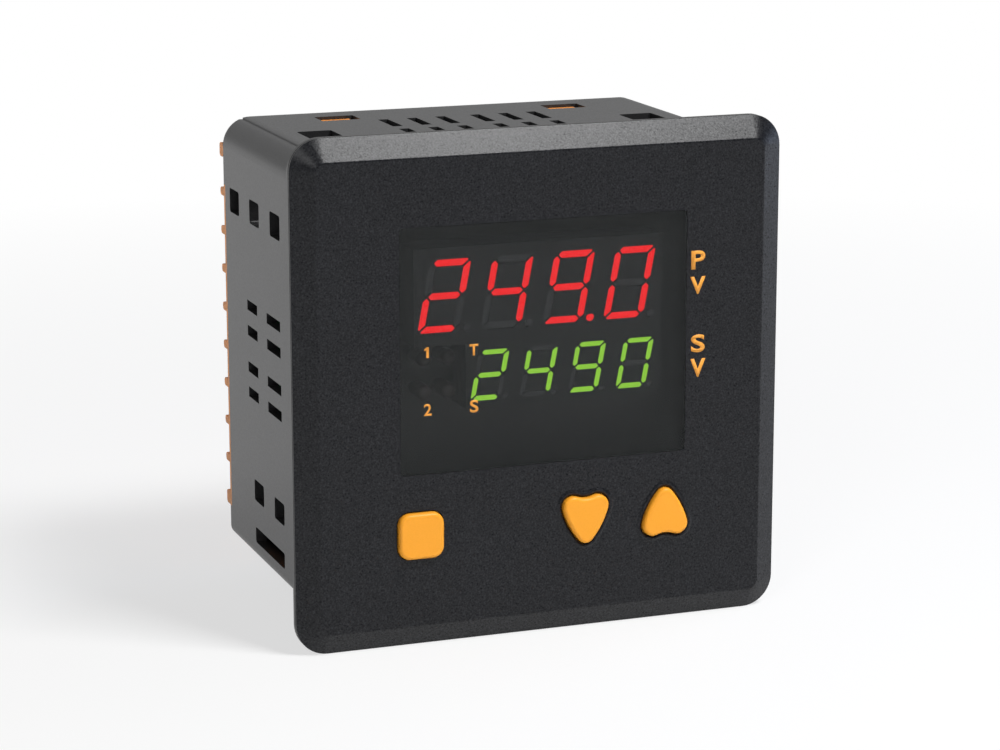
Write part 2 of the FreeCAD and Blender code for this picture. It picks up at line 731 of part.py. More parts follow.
def build_key(key):
    """Keycap: rounded crown, retaining skirt and a post that reaches the switch plunger."""
    crown_front = face_y - D.key_proud
    crown = key_prism(key, crown_front, skirt_back_y)
    crown_edges = [edge for edge in crown.Edges if edge.BoundBox.YMax < (crown_front + 0.01).value]
    crown = crown.makeFillet(D.key_crown_round.value, crown_edges)
    skirt = key_prism(key, skirt_front_y, skirt_back_y, D.key_skirt.value)
    post = Part.makeCylinder(
        D.key_post_radius.value,
        (plunger_front_y - skirt_back_y).value,
        Vector(KEYS[key].value, skirt_back_y.value, D.key_row_z.value),
        Vector(0, 1, 0),
    )
    cap = make_shape("key_" + key, crown.fuse([skirt, post]).removeSplitter())
    cap.Label = "key_" + key
    return cap


def build_plunger(key):
    plunger = make_rod(key + "_plunger", KEYS[key], D.key_row_z, plunger_front_y, plunger_back_y, D.plunger_radius)
    return plunger


def build_switches():
    """Three switch bodies, each with a blind bore for its plunger."""
    half = D.switch_size / 2
    bodies = []
    for key, x in KEYS.items():
        block = make_box(
            key + "_switch_block",
            x - half,
            x + half,
            switch_front_y,
            display_board_y,
            D.key_row_z - half,
            D.key_row_z + half,
        )
        bore_radius = D.plunger_radius + D.plunger_bore_gap
        bore = make_rod(key + "_switch_bore", x, D.key_row_z, switch_front_y, bore_back_y, bore_radius)
        bodies.append(make_cut(key + "_switch", block, bore))
    return make_group("key_switches", bodies)


# ---------------------------------------------------------------------------
# Display modules
# ---------------------------------------------------------------------------
def digit_segments(height, width, stroke):
    """Seven upright-digit segments about the digit's middle, each a pointed bar, plus its dot."""
    half_h = height / 2
    half_w = width / 2
    half_s = stroke / 2
    gap = D.segment_gap.value / 2
    left, right = half_s - half_w, half_w - half_s
    rows = (half_s - half_h, 0.0, half_h - half_s)
    bars = []
    for z in rows:
        bars.append(pointed_bar((left + gap, z), (right - gap, z), half_s))
    for x in (left, right):
        for low, high in ((rows[0], rows[1]), (rows[1], rows[2])):
            bars.append(pointed_bar((x, low + gap), (x, high - gap), half_s))
    return bars


def pointed_bar(start, end, half_stroke):
    """Six-cornered bar from one point to the other."""
    (x0, z0), (x1, z1) = start, end
    length = math.hypot(x1 - x0, z1 - z0)
    along = ((x1 - x0) / length * half_stroke, (z1 - z0) / length * half_stroke)
    across = (-along[1], along[0])
    return [
        (x0, z0),
        (x0 + along[0] + across[0], z0 + along[1] + across[1]),
        (x1 - along[0] + across[0], z1 - along[1] + across[1]),
        (x1, z1),
        (x1 - along[0] - across[0], z1 - along[1] - across[1]),
        (x0 + along[0] - across[0], z0 + along[1] - across[1]),
    ]


def module_segments(mid_x, mid_z, height, width, pitch, stroke):
    """All segments and dots of a four-digit module, as solids set into its face."""
    slant = math.tan(math.radians(D.digit_slant.value))
    front = -D.display_face.value
    depth = D.segment_depth.value
    dot_radius = D.dot_share.value * stroke.value / 2
    solids = []
    for place in range(4):
        centre_x = mid_x.value - D.digit_shift.value + (place - 1.5) * pitch.value
        for bar in digit_segments(height.value, width.value, stroke.value):
            points = [Vector(centre_x + x + slant * z, front, mid_z.value + z) for x, z in bar]
            face = Part.Face(Part.makePolygon(points + points[:1]))
            solids.append(face.extrude(Vector(0, depth, 0)))
        dot_x = centre_x + width.value / 2 + D.dot_gap.value + dot_radius
        dot_z = mid_z.value - height.value / 2 + stroke.value / 2
        dot_place = Vector(dot_x + slant * (dot_z - mid_z.value), front, dot_z)
        solids.append(Part.makeCylinder(dot_radius, depth, dot_place, Vector(0, 1, 0)))
    return solids


def build_display(prefix, left, top, width, height, digit, digit_width, pitch, stroke):
    """Module body with segment-shaped pockets, and the diffusing segments that fill them."""
    right = left + width
    low = top - height
    block = make_box(prefix + "_block", left, right, -D.display_face, display_board_y, low, top)
    mid_x = left + width / 2
    mid_z = low + height / 2
    solids = module_segments(mid_x, mid_z, digit, digit_width, pitch, stroke)
    pieces = [make_shape("%s_segment_%d" % (prefix, index), solid) for index, solid in enumerate(solids)]
    segments = make_group(prefix + "_segments", pieces)
    module = make_cut(prefix + "_display", block, segments)
    return [module, segments]


def build_lamps(inner_x, middle_z):
    """Four round lamps in two rows and two columns, beside the lower module."""
    lamps = []
    shoulder_y = display_board_y - D.lamp_length + D.lamp_radius
    for column in range(2):
        for row in range(2):
            name = "lamp_%d%d" % (column, row)
            x = inner_x - column * D.lamp_pitch_x
            z = middle_z + (row - 0.5) * D.lamp_pitch_z
            stem = make_rod(name + "_stem", x, z, shoulder_y, display_board_y, D.lamp_radius)
            dome = doc.addObject("Part::Sphere", name + "_dome")
            bind(dome, "Radius", D.lamp_radius)
            bind(dome, "Placement.Base.x", x)
            bind(dome, "Placement.Base.y", shoulder_y)
            bind(dome, "Placement.Base.z", z)
            lamps.append(make_fuse(name, [stem, dome]))
    return make_group("status_leds", lamps)


# ---------------------------------------------------------------------------
# Boards and what they carry
# ---------------------------------------------------------------------------
def build_display_board():
    board = make_box(
        "display_board", -board_right, board_right, display_board_y, display_board_back, board_floor, board_top
    )
    return board


def build_chip():
    half = D.chip_size / 2
    back = display_board_back + D.chip_thick
    return make_box("controller_chip", -half, half, display_board_back, back, -half, half)


def build_base_board():
    right = inner_right - D.base_edge_gap
    return make_box(
        "base_board",
        -right,
        right,
        D.base_board_front,
        terminal_board_front - D.base_edge_gap,
        base_board_low,
        base_board_high,
    )


def build_header(name, mid_x, wall_y, towards):
    """Angled pin header: pins rise from the base board and run level to an upright board."""
    half_row = D.header_pitch * (D.header_pins - 1) / 2
    half_pin = D.header_pin / 2
    half_body = D.header_body / 2
    stem_y = wall_y - towards * (D.header_body * 2)
    level_z = base_board_high + D.header_body + D.header_rise
    parts = [
        make_box(
            name + "_strip",
            mid_x - half_row - half_body,
            mid_x + half_row + half_body,
            stem_y - half_body,
            stem_y + half_body,
            base_board_high,
            base_board_high + D.header_body,
        )
    ]
    if towards < 0:
        run = (wall_y, stem_y + half_pin)
    else:
        run = (stem_y - half_pin, wall_y)
    for pin in range(int(D.header_pins.value)):
        x = mid_x - half_row + pin * D.header_pitch
        label = "%s_pin_%d" % (name, pin)
        parts.append(
            make_box(
                label + "_rise",
                x - half_pin,
                x + half_pin,
                stem_y - half_pin,
                stem_y + half_pin,
                base_board_high,
                level_z + half_pin,
            )
        )
        parts.append(
            make_box(
                label + "_run", x - half_pin, x + half_pin, run[0], run[1], level_z - half_pin, level_z + half_pin
            )
        )
    return make_fuse(name, parts)


def build_transformer():
    """Two E-shaped core halves closed round a winding on its bobbin, standing on the base board."""
    half_length = D.core_length / 2
    half_thick = D.core_thick / 2
    middle_z = base_board_high + D.core_height / 2
    frame = make_box(
        "core_frame",
        D.core_x - half_length,
        D.core_x + half_length,
        D.core_y - half_thick,
        D.core_y + half_thick,
        base_board_high,
        base_board_high + D.core_height,
    )
    half_winding = D.winding_size / 2
    window = make_box(
        "core_window",
        D.core_x - half_winding,
        D.core_x + half_winding,
        D.core_y - D.core_thick,
        D.core_y + D.core_thick,
        middle_z - D.winding_length / 2,
        middle_z + D.winding_length / 2,
    )
    opened = make_cut("core_opened", frame, window)
    limb = make_box(
        "core_limb",
        D.core_x - D.core_limb / 2,
        D.core_x + D.core_limb / 2,
        D.core_y - half_thick,
        D.core_y + half_thick,
        base_board_high,
        base_board_high + D.core_height,
    )
    core = make_fuse("transformer_core", [opened, limb])
    coil = make_box(
        "winding_block",
        D.core_x - half_winding,
        D.core_x + half_winding,
        D.core_y - half_winding,
        D.core_y + half_winding,
        middle_z - D.winding_length / 2,
        middle_z + D.winding_length / 2,
    )
    bore = make_box(
        "winding_bore",
        D.core_x - D.core_limb / 2,
        D.core_x + D.core_limb / 2,
        D.core_y - half_thick,
        D.core_y + half_thick,
        middle_z - D.winding_length,
        middle_z + D.winding_length,
    )
    winding = make_cut("transformer_winding", coil, bore)
    return [core, winding]


def build_capacitors():
    bulk_top = base_board_high + D.bulk_height
    filter_top = base_board_high + D.filter_height
    return [
        make_can("input_capacitor", D.bulk_x, D.supply_row_y, base_board_high, bulk_top, D.bulk_radius),
        make_can("output_capacitor", D.filter_x, D.supply_row_y, base_board_high, filter_top, D.filter_radius),
    ]


def build_relays():
    relays = []
    for number, side in ((1, -1), (2, 1)):
        x = side * D.relay_x
        relays.append(
            make_box(
                "output_relay_%d" % number,
                x - D.relay_width / 2,
                x + D.relay_width / 2,
                terminal_board_front - D.relay_depth,
                terminal_board_front,
                D.relay_z - D.relay_height / 2,
                D.relay_z + D.relay_height / 2,
            )
        )
    return relays


# ---------------------------------------------------------------------------
# Sleeve
# ---------------------------------------------------------------------------
def build_housing():
    """Sleeve with its flange, open at both ends, windowed on all four sides."""
    body = new_body("housing")
    outline = facing_panel(body, "sleeve_outline", ZERO)
    add_rounded(
        outline, -half_case, half_case, -D.case_bottom, D.case_top, D.case_top_corner, D.case_bottom_corner
    )
    pad(body, "sleeve", outline, D.case_depth, reverse=True)
    flange = facing_panel(body, "flange_outline", ZERO)
    add_rounded(flange, -half_bezel, half_bezel, -half_bezel, half_bezel, D.bezel_corner)
    pad(body, "flange", flange, D.flange_thick)
    bore = facing_panel(body, "bore_outline", ZERO)
    add_rounded(bore, -inner_right, inner_right, inner_floor, inner_top, inner_top_corner, inner_low_corner)
    pocket_through(body, "bore", bore)

    # ledges that carry the base board, on both sides of the long slot
    ledges = new_sketch(body, "ledge_outline", "YZ_Plane", -inner_right)
    far_ledge = terminal_board_front - D.base_edge_gap - D.ledge_length
    for start in (D.base_board_front, far_ledge):
        add_rectangle(ledges, start, start + D.ledge_length, base_board_low - D.ledge_thick, base_board_low)
    pad(body, "ledges_left", ledges, D.ledge_width)
    far_side = new_sketch(body, "ledge_outline_right", "YZ_Plane", inner_right)
    for start in (D.base_board_front, far_ledge):
        add_rectangle(far_side, start, start + D.ledge_length, base_board_low - D.ledge_thick, base_board_low)
    pad(body, "ledges_right", far_side, D.ledge_width, reverse=True)

    # side windows: a row of three near the top, a row of two near the bottom
    for row, z, height, count in (
        ("high", D.port_high_z, D.port_height, D.port_high_count),
        ("low", D.port_low_z, D.port_low_height, D.port_low_count),
    ):
        port = new_sketch(body, "port_outline_" + row, "YZ_Plane")
        half = D.port_width / 2
        add_rounded(
            port, D.port_front - half, D.port_front + half, z - height / 2, z + height / 2, D.port_corner
        )
        first_port = pocket_through(body, "first_port_" + row, port)
        repeat(body, "ports_" + row, [first_port], "Y_Axis", D.port_pitch, count)

    # small side slots: two pairs, one above the other, in two columns
    slits = new_sketch(body, "slit_outline", "YZ_Plane")
    columns = ((D.slit_front_start, D.slit_front_length), (D.slit_rear_start, D.slit_rear_length))
    for step in (-0.5, 0.5):
        z = D.slit_mid_z - D.slit_pair_pitch / 2 + step * D.slit_pitch
        for start, length in columns:
            add_rectangle(slits, start, start + length, z - D.slit_height / 2, z + D.slit_height / 2)
    first_slits = pocket_through(body, "first_slits", slits)
    repeat(body, "slits", [first_slits], "Z_Axis", D.slit_pair_pitch, D.slit_pair_count)

    # long slot that shows the base board's edge
    slot = new_sketch(body, "long_slot_outline", "YZ_Plane")
    slot_low = D.long_slot_lift - D.case_bottom
    add_rounded(
        slot,
        D.long_slot_start,
        D.long_slot_start + D.long_slot_length,
        slot_low,
        slot_low + D.long_slot_height,
        D.port_corner,
    )
    pocket_through(body, "long_slots", slot)

    # vents through the top and the bottom wall: two groups in each of two rows
    vents = new_sketch(body, "vent_outline", "XY_Plane")
    rear_row = D.vent_front_start + D.vent_length + D.vent_row_gap
    left_group = D.vent_shift - D.vent_group_gap / 2 - D.vent_pitch * (D.vent_group_count - 1)
    for start in (D.vent_front_start, rear_row):
        for x in (left_group, D.vent_shift + D.vent_group_gap / 2):
            add_rectangle(vents, x - D.vent_width / 2, x + D.vent_width / 2, start, start + D.vent_length)
    first_vents = pocket_through(body, "first_vents", vents)
    repeat(body, "vents", [first_vents], "X_Axis", D.vent_pitch, D.vent_group_count)

    # windows for mounting clamps and for the cover's latches, top and bottom
    for side, name in ((-1, "left"), (1, "right")):
        clamp = new_sketch(body, "clamp_window_outline_" + name, "XY_Plane")
        x = side * D.clamp_slot_x
        half = D.clamp_slot_width / 2
        clamp_end = D.clamp_slot_start + D.clamp_slot_length
        add_rounded(clamp, x - half, x + half, D.clamp_slot_start, clamp_end, D.port_corner)
        pocket_through(body, "clamp_windows_" + name, clamp)
        latch = new_sketch(body, "latch_window_outline_" + name, "XY_Plane")
        x = side * D.latch_x
        half = D.latch_window_width / 2
        latch_end = D.latch_window_start + D.latch_window_length
        add_rectangle(latch, x - half, x + half, D.latch_window_start, latch_end)
        pocket_through(body, "latch_windows_" + name, latch)

    # two shallow grooves along the top edges
    grooves = facing_panel(body, "groove_outline", D.case_depth)
    for side in (-1, 1):
        x = side * (half_case - D.groove_inset)
        half = D.groove_width / 2
        add_rectangle(grooves, x - half, x + half, D.case_top - D.groove_depth, D.case_top + D.groove_depth)
    pocket(body, "top_grooves", grooves, D.case_depth, reverse=True)

    # rear edges cut back for the cover's side lips
    notches = facing_panel(body, "notch_outline", D.case_depth)
    for near, far in ((-half_case - D.case_wall, -inner_right), (inner_right, half_case + D.case_wall)):
        add_rectangle(notches, near, far, lip_low, D.cover_lip_top)
    pocket(body, "lip_notches", notches, D.cover_lip, reverse=True)
    return body


# ---------------------------------------------------------------------------
# Terminal cover and terminals
# ---------------------------------------------------------------------------
terminal_count = int(D.terminal_count.value)
column_low = D.terminal_mid_z - D.terminal_pitch * (D.terminal_count / 2)
well_outer = plug_right - D.well_side_wall
well_inner = well_outer - D.well_width
well_floor_y = D.case_depth - D.well_depth
barrier_back_y = D.case_depth + D.barrier_height
relief_floor_y = D.case_depth - D.cover_skin
cover_post_x = well_inner - D.tab_gap * 2 - D.post_radius
lip_low = column_low + D.barrier_thick / 2 - D.barrier_end_thick
screw_x = well_outer - D.well_width / 2
tab_back_y = well_floor_y + D.tab_thick
clamp_back_y = tab_back_y + D.clamp_thick
leg_x = well_inner + D.tab_gap + D.tab_thick / 2


def terminal_z(index):
    """Height of a terminal, counted from the bottom of its column."""
    return column_low + D.terminal_pitch * (index + 0.5)


def build_cover():
    """Cover that closes the sleeve: lips, latches, terminal wells and barrier ribs."""
    body = new_body("rear_cover")
    plate = facing_panel(body, "plate_outline", cover_front_y)
    add_rounded(plate, -plug_right, plug_right, plug_floor, plug_top, inner_top_corner, D.case_wall / 4)
    pad(body, "plate", plate, D.cover_thick, reverse=True)
    lips = facing_panel(body, "lip_outline", D.case_depth)
    for near, far in ((-half_case, -plug_right + D.cover_lip), (plug_right - D.cover_lip, half_case)):
        add_rectangle(lips, near, far, lip_low, D.cover_lip_top)
    pad(body, "lips", lips, D.cover_lip)

    # the lowest terminal's well and holes, repeated up the column
    wells = facing_panel(body, "well_outline", D.case_depth)
    holes = facing_panel(body, "hole_outline", D.case_depth)
    half_clear = (D.terminal_pitch - D.barrier_thick) / 2
    slot_half_x = D.tab_thick / 2 + D.tab_leg_gap
    slot_half_z = D.tab_leg_width / 2 + D.tab_leg_gap
    z = terminal_z(0)
    for side in (-1, 1):
        ends = (well_inner, well_outer) if side > 0 else (-well_outer, -well_inner)
        add_rectangle(wells, ends[0], ends[1], z - half_clear, z + half_clear)
        add_circle(holes, side * screw_x, z, D.screw_radius + D.screw_hole_gap)
        x = side * leg_x
        add_rectangle(holes, x - slot_half_x, x + slot_half_x, z - slot_half_z, z + slot_half_z)
    first_wells = pocket(body, "first_wells", wells, D.well_depth, reverse=True)
    repeat(body, "wells", [first_wells], "Z_Axis", D.terminal_pitch, D.terminal_count)
    first_holes = pocket_through(body, "first_holes", holes)
    repeat(body, "terminal_holes", [first_holes], "Z_Axis", D.terminal_pitch, D.terminal_count)

    # barrier ribs: one between each pair of terminals, a thicker one at each end
    rib_front_y = D.case_depth - D.barrier_round
    rib_length = half_case - well_inner
    inner_half = D.barrier_thick / 2
    outer_reach = D.barrier_end_thick - inner_half
    column_high = column_low + D.terminal_pitch * D.terminal_count
    first_z = column_low + D.terminal_pitch
    for name, start in (("left", -half_case), ("right", well_inner)):
        for end, front, low, high in (
            ("low", rib_front_y, column_low - outer_reach, column_low + inner_half),
            ("high", D.case_depth, column_high - inner_half, column_high + outer_reach),
        ):
            label = "%s_%s" % (name, end)
            end_rib = new_sketch(body, "end_rib_outline_" + label, "YZ_Plane", start)
            add_rounded(end_rib, front, barrier_back_y, low, high, D.barrier_round)
            pad(body, "end_rib_" + label, end_rib, rib_length)
        rib = new_sketch(body, "rib_outline_" + name, "YZ_Plane", start)
        add_rounded(rib, rib_front_y, barrier_back_y, first_z - inner_half, first_z + inner_half, D.barrier_round)
        first_rib = pad(body, "first_rib_" + name, rib, rib_length)
        repeat(body, "ribs_" + name, [first_rib], "Z_Axis", D.terminal_pitch, D.terminal_count - 1)

    inside = facing_panel(body, "relief_outline", cover_front_y)
    relief_right = well_inner - D.cover_skin
    add_rectangle(
        inside, -relief_right, relief_right, plug_floor + D.cover_skin * 2, plug_top - D.cover_skin * 2
    )
    pocket(body, "inner_relief", inside, relief_floor_y - cover_front_y, reverse=False)

    # posts that carry the terminal board, inboard of the terminals' legs
    posts = facing_panel(body, "cover_post_outline", relief_floor_y)
    for x in (-cover_post_x, cover_post_x):
        for z in (post_low, post_high):
            add_circle(posts, x, z, D.post_radius)
    pad(body, "cover_posts", posts, relief_floor_y - terminal_board_back)

    # each latch is an arm that runs forward along a wall, with a ramped hook in the window
    tip_y = cover_front_y - D.latch_reach
    hook_back_y = tip_y + D.latch_hook_length
    for name, wall_z, outer_z, sign in (
        ("high", plug_top, D.case_top - D.latch_hook_drop, 1),
        ("low", plug_floor, D.latch_hook_drop - D.case_bottom, -1),
    ):
        inner_z = wall_z - sign * D.latch_thick
        for side in (-1, 1):
            start = side * D.latch_x - D.latch_width / 2
            profile = new_sketch(body, "latch_%s_%d" % (name, side + 1), "YZ_Plane", start)
            add_polygon(
                profile,
                [
                    (cover_front_y + D.cover_skin, inner_z),
                    (tip_y, inner_z),
                    (tip_y, outer_z - sign * D.latch_ramp),
                    (tip_y + D.latch_ramp, outer_z),
                    (hook_back_y, outer_z),
                    (hook_back_y, wall_z),
                    (cover_front_y + D.cover_skin, wall_z),
                ],
            )
            pad(body, "latch_arm_%s_%d" % (name, side + 1), profile, D.latch_width)
    return body


def build_terminals(name, side):
    """One column of tabs, clamp washers and screws, each kind a node of its own."""
    tabs, clamps, screws = [], [], []
    half_tab = (D.terminal_pitch - D.barrier_thick) / 2 - D.tab_gap
    for index in range(terminal_count):
        z = terminal_z(index)
        label = "%s_%d" % (name, index + 1)
        x = side * screw_x
        reach = (well_inner + D.tab_gap, well_outer - D.tab_gap)
        near, far = reach if side > 0 else (-reach[1], -reach[0])
        blade = make_box("blade_" + label, near, far, well_floor_y, tab_back_y, z - half_tab, z + half_tab)
        leg_near = side * leg_x - D.tab_thick / 2
        half_leg = D.tab_leg_width / 2
        leg_front = terminal_board_front - D.tab_thick
        leg = make_box(
            "leg_" + label, leg_near, leg_near + D.tab_thick, leg_front, tab_back_y, z - half_leg, z + half_leg
        )
        hole_radius = D.screw_radius + D.screw_hole_gap
        hole = make_rod("tab_hole_" + label, x, z, leg_front, clamp_back_y, hole_radius)
        tabs.append(make_cut("tab_" + label, make_fuse("tab_blank_" + label, [blade, leg]), hole))
        half_clamp = D.clamp_length / 2
        washer = make_box(
            "washer_" + label, x - half_clamp, x + half_clamp, tab_back_y, clamp_back_y, z - half_tab, z + half_tab
        )
        washer_hole = make_rod("washer_hole_" + label, x, z, tab_back_y, clamp_back_y, hole_radius)
        clamps.append(make_cut("clamp_" + label, washer, washer_hole))
        head_back = clamp_back_y + D.screw_head_height
        head = make_rod("head_" + label, x, z, clamp_back_y, head_back, D.screw_head_radius)
        shank = make_rod("shank_" + label, x, z, clamp_back_y - D.screw_length, clamp_back_y, D.screw_radius)
        screws.append(make_fuse("screw_" + label, [head, shank]))
    return [
        make_group("terminal_tabs_" + name, tabs),
        make_group("clamp_washers_" + name, clamps),
        make_group("terminal_screws_" + name, screws),
    ]


def build_terminal_board():
    """Rear board, pierced for the terminal legs."""
    blank = make_box(
        "terminal_board_blank",
        -board_right,
        board_right,
        terminal_board_front,
        terminal_board_back,
        board_floor,
        board_top,
    )
    slots = []
    half_x = D.tab_thick / 2 + D.tab_leg_gap
    half_z = D.tab_leg_width / 2 + D.tab_leg_gap
    for name, side in COLUMN_SIDES.items():
        for index in range(terminal_count):
            z = terminal_z(index)
            x = side * leg_x
            slots.append(
                make_box(
                    "leg_slot_%s_%d" % (name, index),
                    x - half_x,
                    x + half_x,
                    terminal_board_front,
                    terminal_board_back,
                    z - half_z,
                    z + half_z,
                )
            )
    return make_cut("terminal_board", blank, make_group("leg_slots", slots))


# ---------------------------------------------------------------------------
# Assembly and output
# ---------------------------------------------------------------------------
def build_all():
    pv_left = D.display_right - D.pv_width
    sv_left = D.display_right - D.sv_width
    sv_top = D.pv_top - D.pv_height
    nodes = [build_fascia(), build_window()]
    nodes += build_display(
        "pv", pv_left, D.pv_top, D.pv_width, D.pv_height, D.pv_digit, D.pv_digit_width, D.pv_pitch, D.pv_stroke
    )
    nodes += build_display(
        "sv", sv_left, sv_top, D.sv_width, D.sv_height, D.sv_digit, D.sv_digit_width, D.sv_pitch, D.sv_stroke
    )
    nodes.append(build_lamps(sv_left - D.lamp_column_gap, sv_top - D.sv_height / 2))
    for key in KEYS:
        nodes += [build_key(key), build_plunger(key)]
    nodes += [build_switches(), build_display_board(), build_chip(), build_base_board()]
    nodes.append(build_header("front_header", D.front_header_x, display_board_back, -1))
    nodes.append(build_header("rear_header", D.rear_header_x, terminal_board_front, 1))
    nodes += build_transformer() + build_capacitors() + build_relays()
    nodes += [build_housing(), build_cover(), build_terminal_board()]
    for name, side in COLUMN_SIDES.items():
        nodes += build_terminals(name, side)
    return nodes


def check_and_write(nodes):
    """Stop on any failed object, then write one STEP file per node."""
    doc.recompute()
    for item in doc.Objects:
        if "Invalid" in item.State or "Error" in item.State:
            raise RuntimeError("%s (%s) failed: %s" % (item.Name, item.Label, item.State))
    os.makedirs("parts", exist_ok=True)
    for node in nodes:
        shape = node.Shape
        if shape.isNull() or not shape.isValid() or not shape.Solids:
            raise RuntimeError("%s has no valid solid" % node.Label)
        print("%-24s solids %2d volume %10.2f" % (node.Label, len(shape.Solids), shape.Volume))
    for node in nodes:
        node.Shape.exportStep("parts/%s.step" % node.Label)


check_and_write(build_all())
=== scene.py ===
"""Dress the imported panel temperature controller: finishes, legends, digits, screws and studio."""

from __future__ import annotations

import json
import logging
import math
from dataclasses import dataclass, field
from enum import Enum
from typing import Callable, Sequence

import bmesh
import bpy
from bpy.types import Material, Node, NodeSocket, NodeTree, Object
from mathutils import Matrix, Vector

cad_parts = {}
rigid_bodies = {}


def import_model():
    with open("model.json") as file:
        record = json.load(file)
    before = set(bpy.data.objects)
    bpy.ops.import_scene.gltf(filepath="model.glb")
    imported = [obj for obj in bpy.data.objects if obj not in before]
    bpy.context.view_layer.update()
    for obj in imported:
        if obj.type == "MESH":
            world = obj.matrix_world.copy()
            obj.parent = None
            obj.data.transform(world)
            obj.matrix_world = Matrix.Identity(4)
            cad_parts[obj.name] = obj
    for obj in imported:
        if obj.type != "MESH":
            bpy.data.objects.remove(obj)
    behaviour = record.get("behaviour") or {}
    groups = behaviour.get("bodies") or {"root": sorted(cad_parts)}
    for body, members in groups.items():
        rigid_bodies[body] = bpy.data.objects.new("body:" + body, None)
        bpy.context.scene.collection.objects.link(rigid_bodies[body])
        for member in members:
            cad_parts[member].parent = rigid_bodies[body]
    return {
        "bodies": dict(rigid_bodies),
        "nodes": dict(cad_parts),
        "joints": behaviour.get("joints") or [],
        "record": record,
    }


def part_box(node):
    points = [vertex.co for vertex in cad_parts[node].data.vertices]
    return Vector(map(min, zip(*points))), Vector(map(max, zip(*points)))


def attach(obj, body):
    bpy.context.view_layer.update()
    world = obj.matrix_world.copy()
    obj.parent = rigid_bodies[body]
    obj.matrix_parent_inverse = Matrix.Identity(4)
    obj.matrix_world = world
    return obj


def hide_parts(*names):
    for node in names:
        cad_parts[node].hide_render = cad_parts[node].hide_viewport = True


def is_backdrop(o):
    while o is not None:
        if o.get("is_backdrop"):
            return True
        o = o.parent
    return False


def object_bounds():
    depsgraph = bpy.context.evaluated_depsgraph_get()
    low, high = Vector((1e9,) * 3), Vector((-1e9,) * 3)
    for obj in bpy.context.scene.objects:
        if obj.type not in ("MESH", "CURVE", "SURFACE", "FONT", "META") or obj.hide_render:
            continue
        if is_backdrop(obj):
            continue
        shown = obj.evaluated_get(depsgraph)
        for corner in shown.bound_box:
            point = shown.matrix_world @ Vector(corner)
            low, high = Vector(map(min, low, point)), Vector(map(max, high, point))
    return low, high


LOG = logging.getLogger("controller")
MM = 0.001
# Two places closer than this are the same.
NEAR = 0.001 * MM
# Faces that turn by less than this are one flat face.
FLAT = math.radians(0.05)
# The digits stand this far left of their modules' middles.
DIGIT_SHIFT = 0.25 * MM
# The upper digits stand this far above their module's middle.
UPPER_LIFT = 0.2 * MM
# A wave texture of scale one turns through this many radians in a metre.
WAVE_TURN = 20.0


# ---------------------------------------------------------------------------
# Colours and shader nodes
# ---------------------------------------------------------------------------
def linear(code: str) -> tuple[float, float, float, float]:
    """Turn an sRGB hex colour into the linear values that shaders take.

    Args:
        code: six hex digits, with or without a leading hash.

    Returns:
        Linear red, green, blue and an alpha of one.
    """
    digits = code.lstrip("#")
    channels = [int(digits[i : i + 2], 16) / 255 for i in (0, 2, 4)]
    values = [c / 12.92 if c <= 0.04045 else ((c + 0.055) / 1.055) ** 2.4 for c in channels]
    return (values[0], values[1], values[2], 1.0)


def add_node(
    tree: NodeTree,
    kind: str,
    settings: dict[str | int, object] | None = None,
    links: dict[str | int, NodeSocket] | None = None,
) -> Node:
    """Add a shader node with its settings and incoming links.

    Args:
        tree: the node tree that gets the node.
        kind: Blender's type name of the node.
        settings: values by property name, or by input socket name or number.
        links: output sockets by the input socket that they feed.

    Returns:
        The new node.
    """
    node = tree.nodes.new(kind)
    for name, value in (settings or {}).items():
        if isinstance(name, str) and name in node.bl_rna.properties:
            setattr(node, name, value)
        else:
            node.inputs[name].default_value = value
    for name, socket in (links or {}).items():
        tree.links.new(socket, node.inputs[name])
    return node


def new_material(name: str) -> Material:
    """Start a material with an empty node tree."""
    material = bpy.data.materials.new(name)
    material.use_nodes = True
    material.node_tree.nodes.clear()
    return material


def shaded(
    material: Material, settings: dict[str | int, object], links: dict[str | int, NodeSocket]
) -> Material:
    """Give a material its Principled shader.

    Args:
        material: the material, which has the pattern nodes only.
        settings: the shader's values by input socket name.
        links: output sockets by the shader's input that they feed.

    Returns:
        The material.
    """
    tree = material.node_tree
    shader = add_node(tree, "ShaderNodeBsdfPrincipled", settings, links)
    add_node(tree, "ShaderNodeOutputMaterial", {}, {"Surface": shader.outputs["BSDF"]})
    return material


def object_point(tree: NodeTree, stretch: Sequence[float] = (1.0, 1.0, 1.0)) -> NodeSocket:
    """Give object coordinates, stretched along the axes.

    Args:
        tree: the tree to add to.
        stretch: scale of the pattern along X, Y and Z.

    Returns:
        The socket that carries the coordinates.
    """
    where = add_node(tree, "ShaderNodeTexCoord").outputs["Object"]
    mapped = add_node(tree, "ShaderNodeMapping", {"Scale": tuple(stretch)}, {"Vector": where})
    return mapped.outputs["Vector"]


def noise(
    tree: NodeTree, point: NodeSocket, size: float, detail: float, roughness: float = 0.5
) -> NodeSocket:
    """Add a noise pattern.

    Args:
        tree: the tree to add to.
        point: the coordinates.
        size: size of its coarsest patches.
        detail: how many finer layers it has.
        roughness: strength of each layer against the one before.

    Returns:
        The socket with the noise, which hovers round one half.
    """
    settings = {"Scale": 1 / size, "Detail": detail, "Roughness": roughness}
    return add_node(tree, "ShaderNodeTexNoise", settings, {"Vector": point}).outputs["Fac"]


def ramp(
    tree: NodeTree, value: NodeSocket, ends: tuple[float, float], results: tuple[float, float]
) -> NodeSocket:
    """Map a value along a straight slope that is level beyond its ends.

    Args:
        tree: the tree to add to.
        value: the value.
        ends: where the slope starts and stops.
        results: what comes out there.

    Returns:
        The socket with the mapped value.
    """
    settings = {"From Min": ends[0], "From Max": ends[1], "To Min": results[0], "To Max": results[1]}
    return add_node(tree, "ShaderNodeMapRange", settings, {"Value": value}).outputs["Result"]


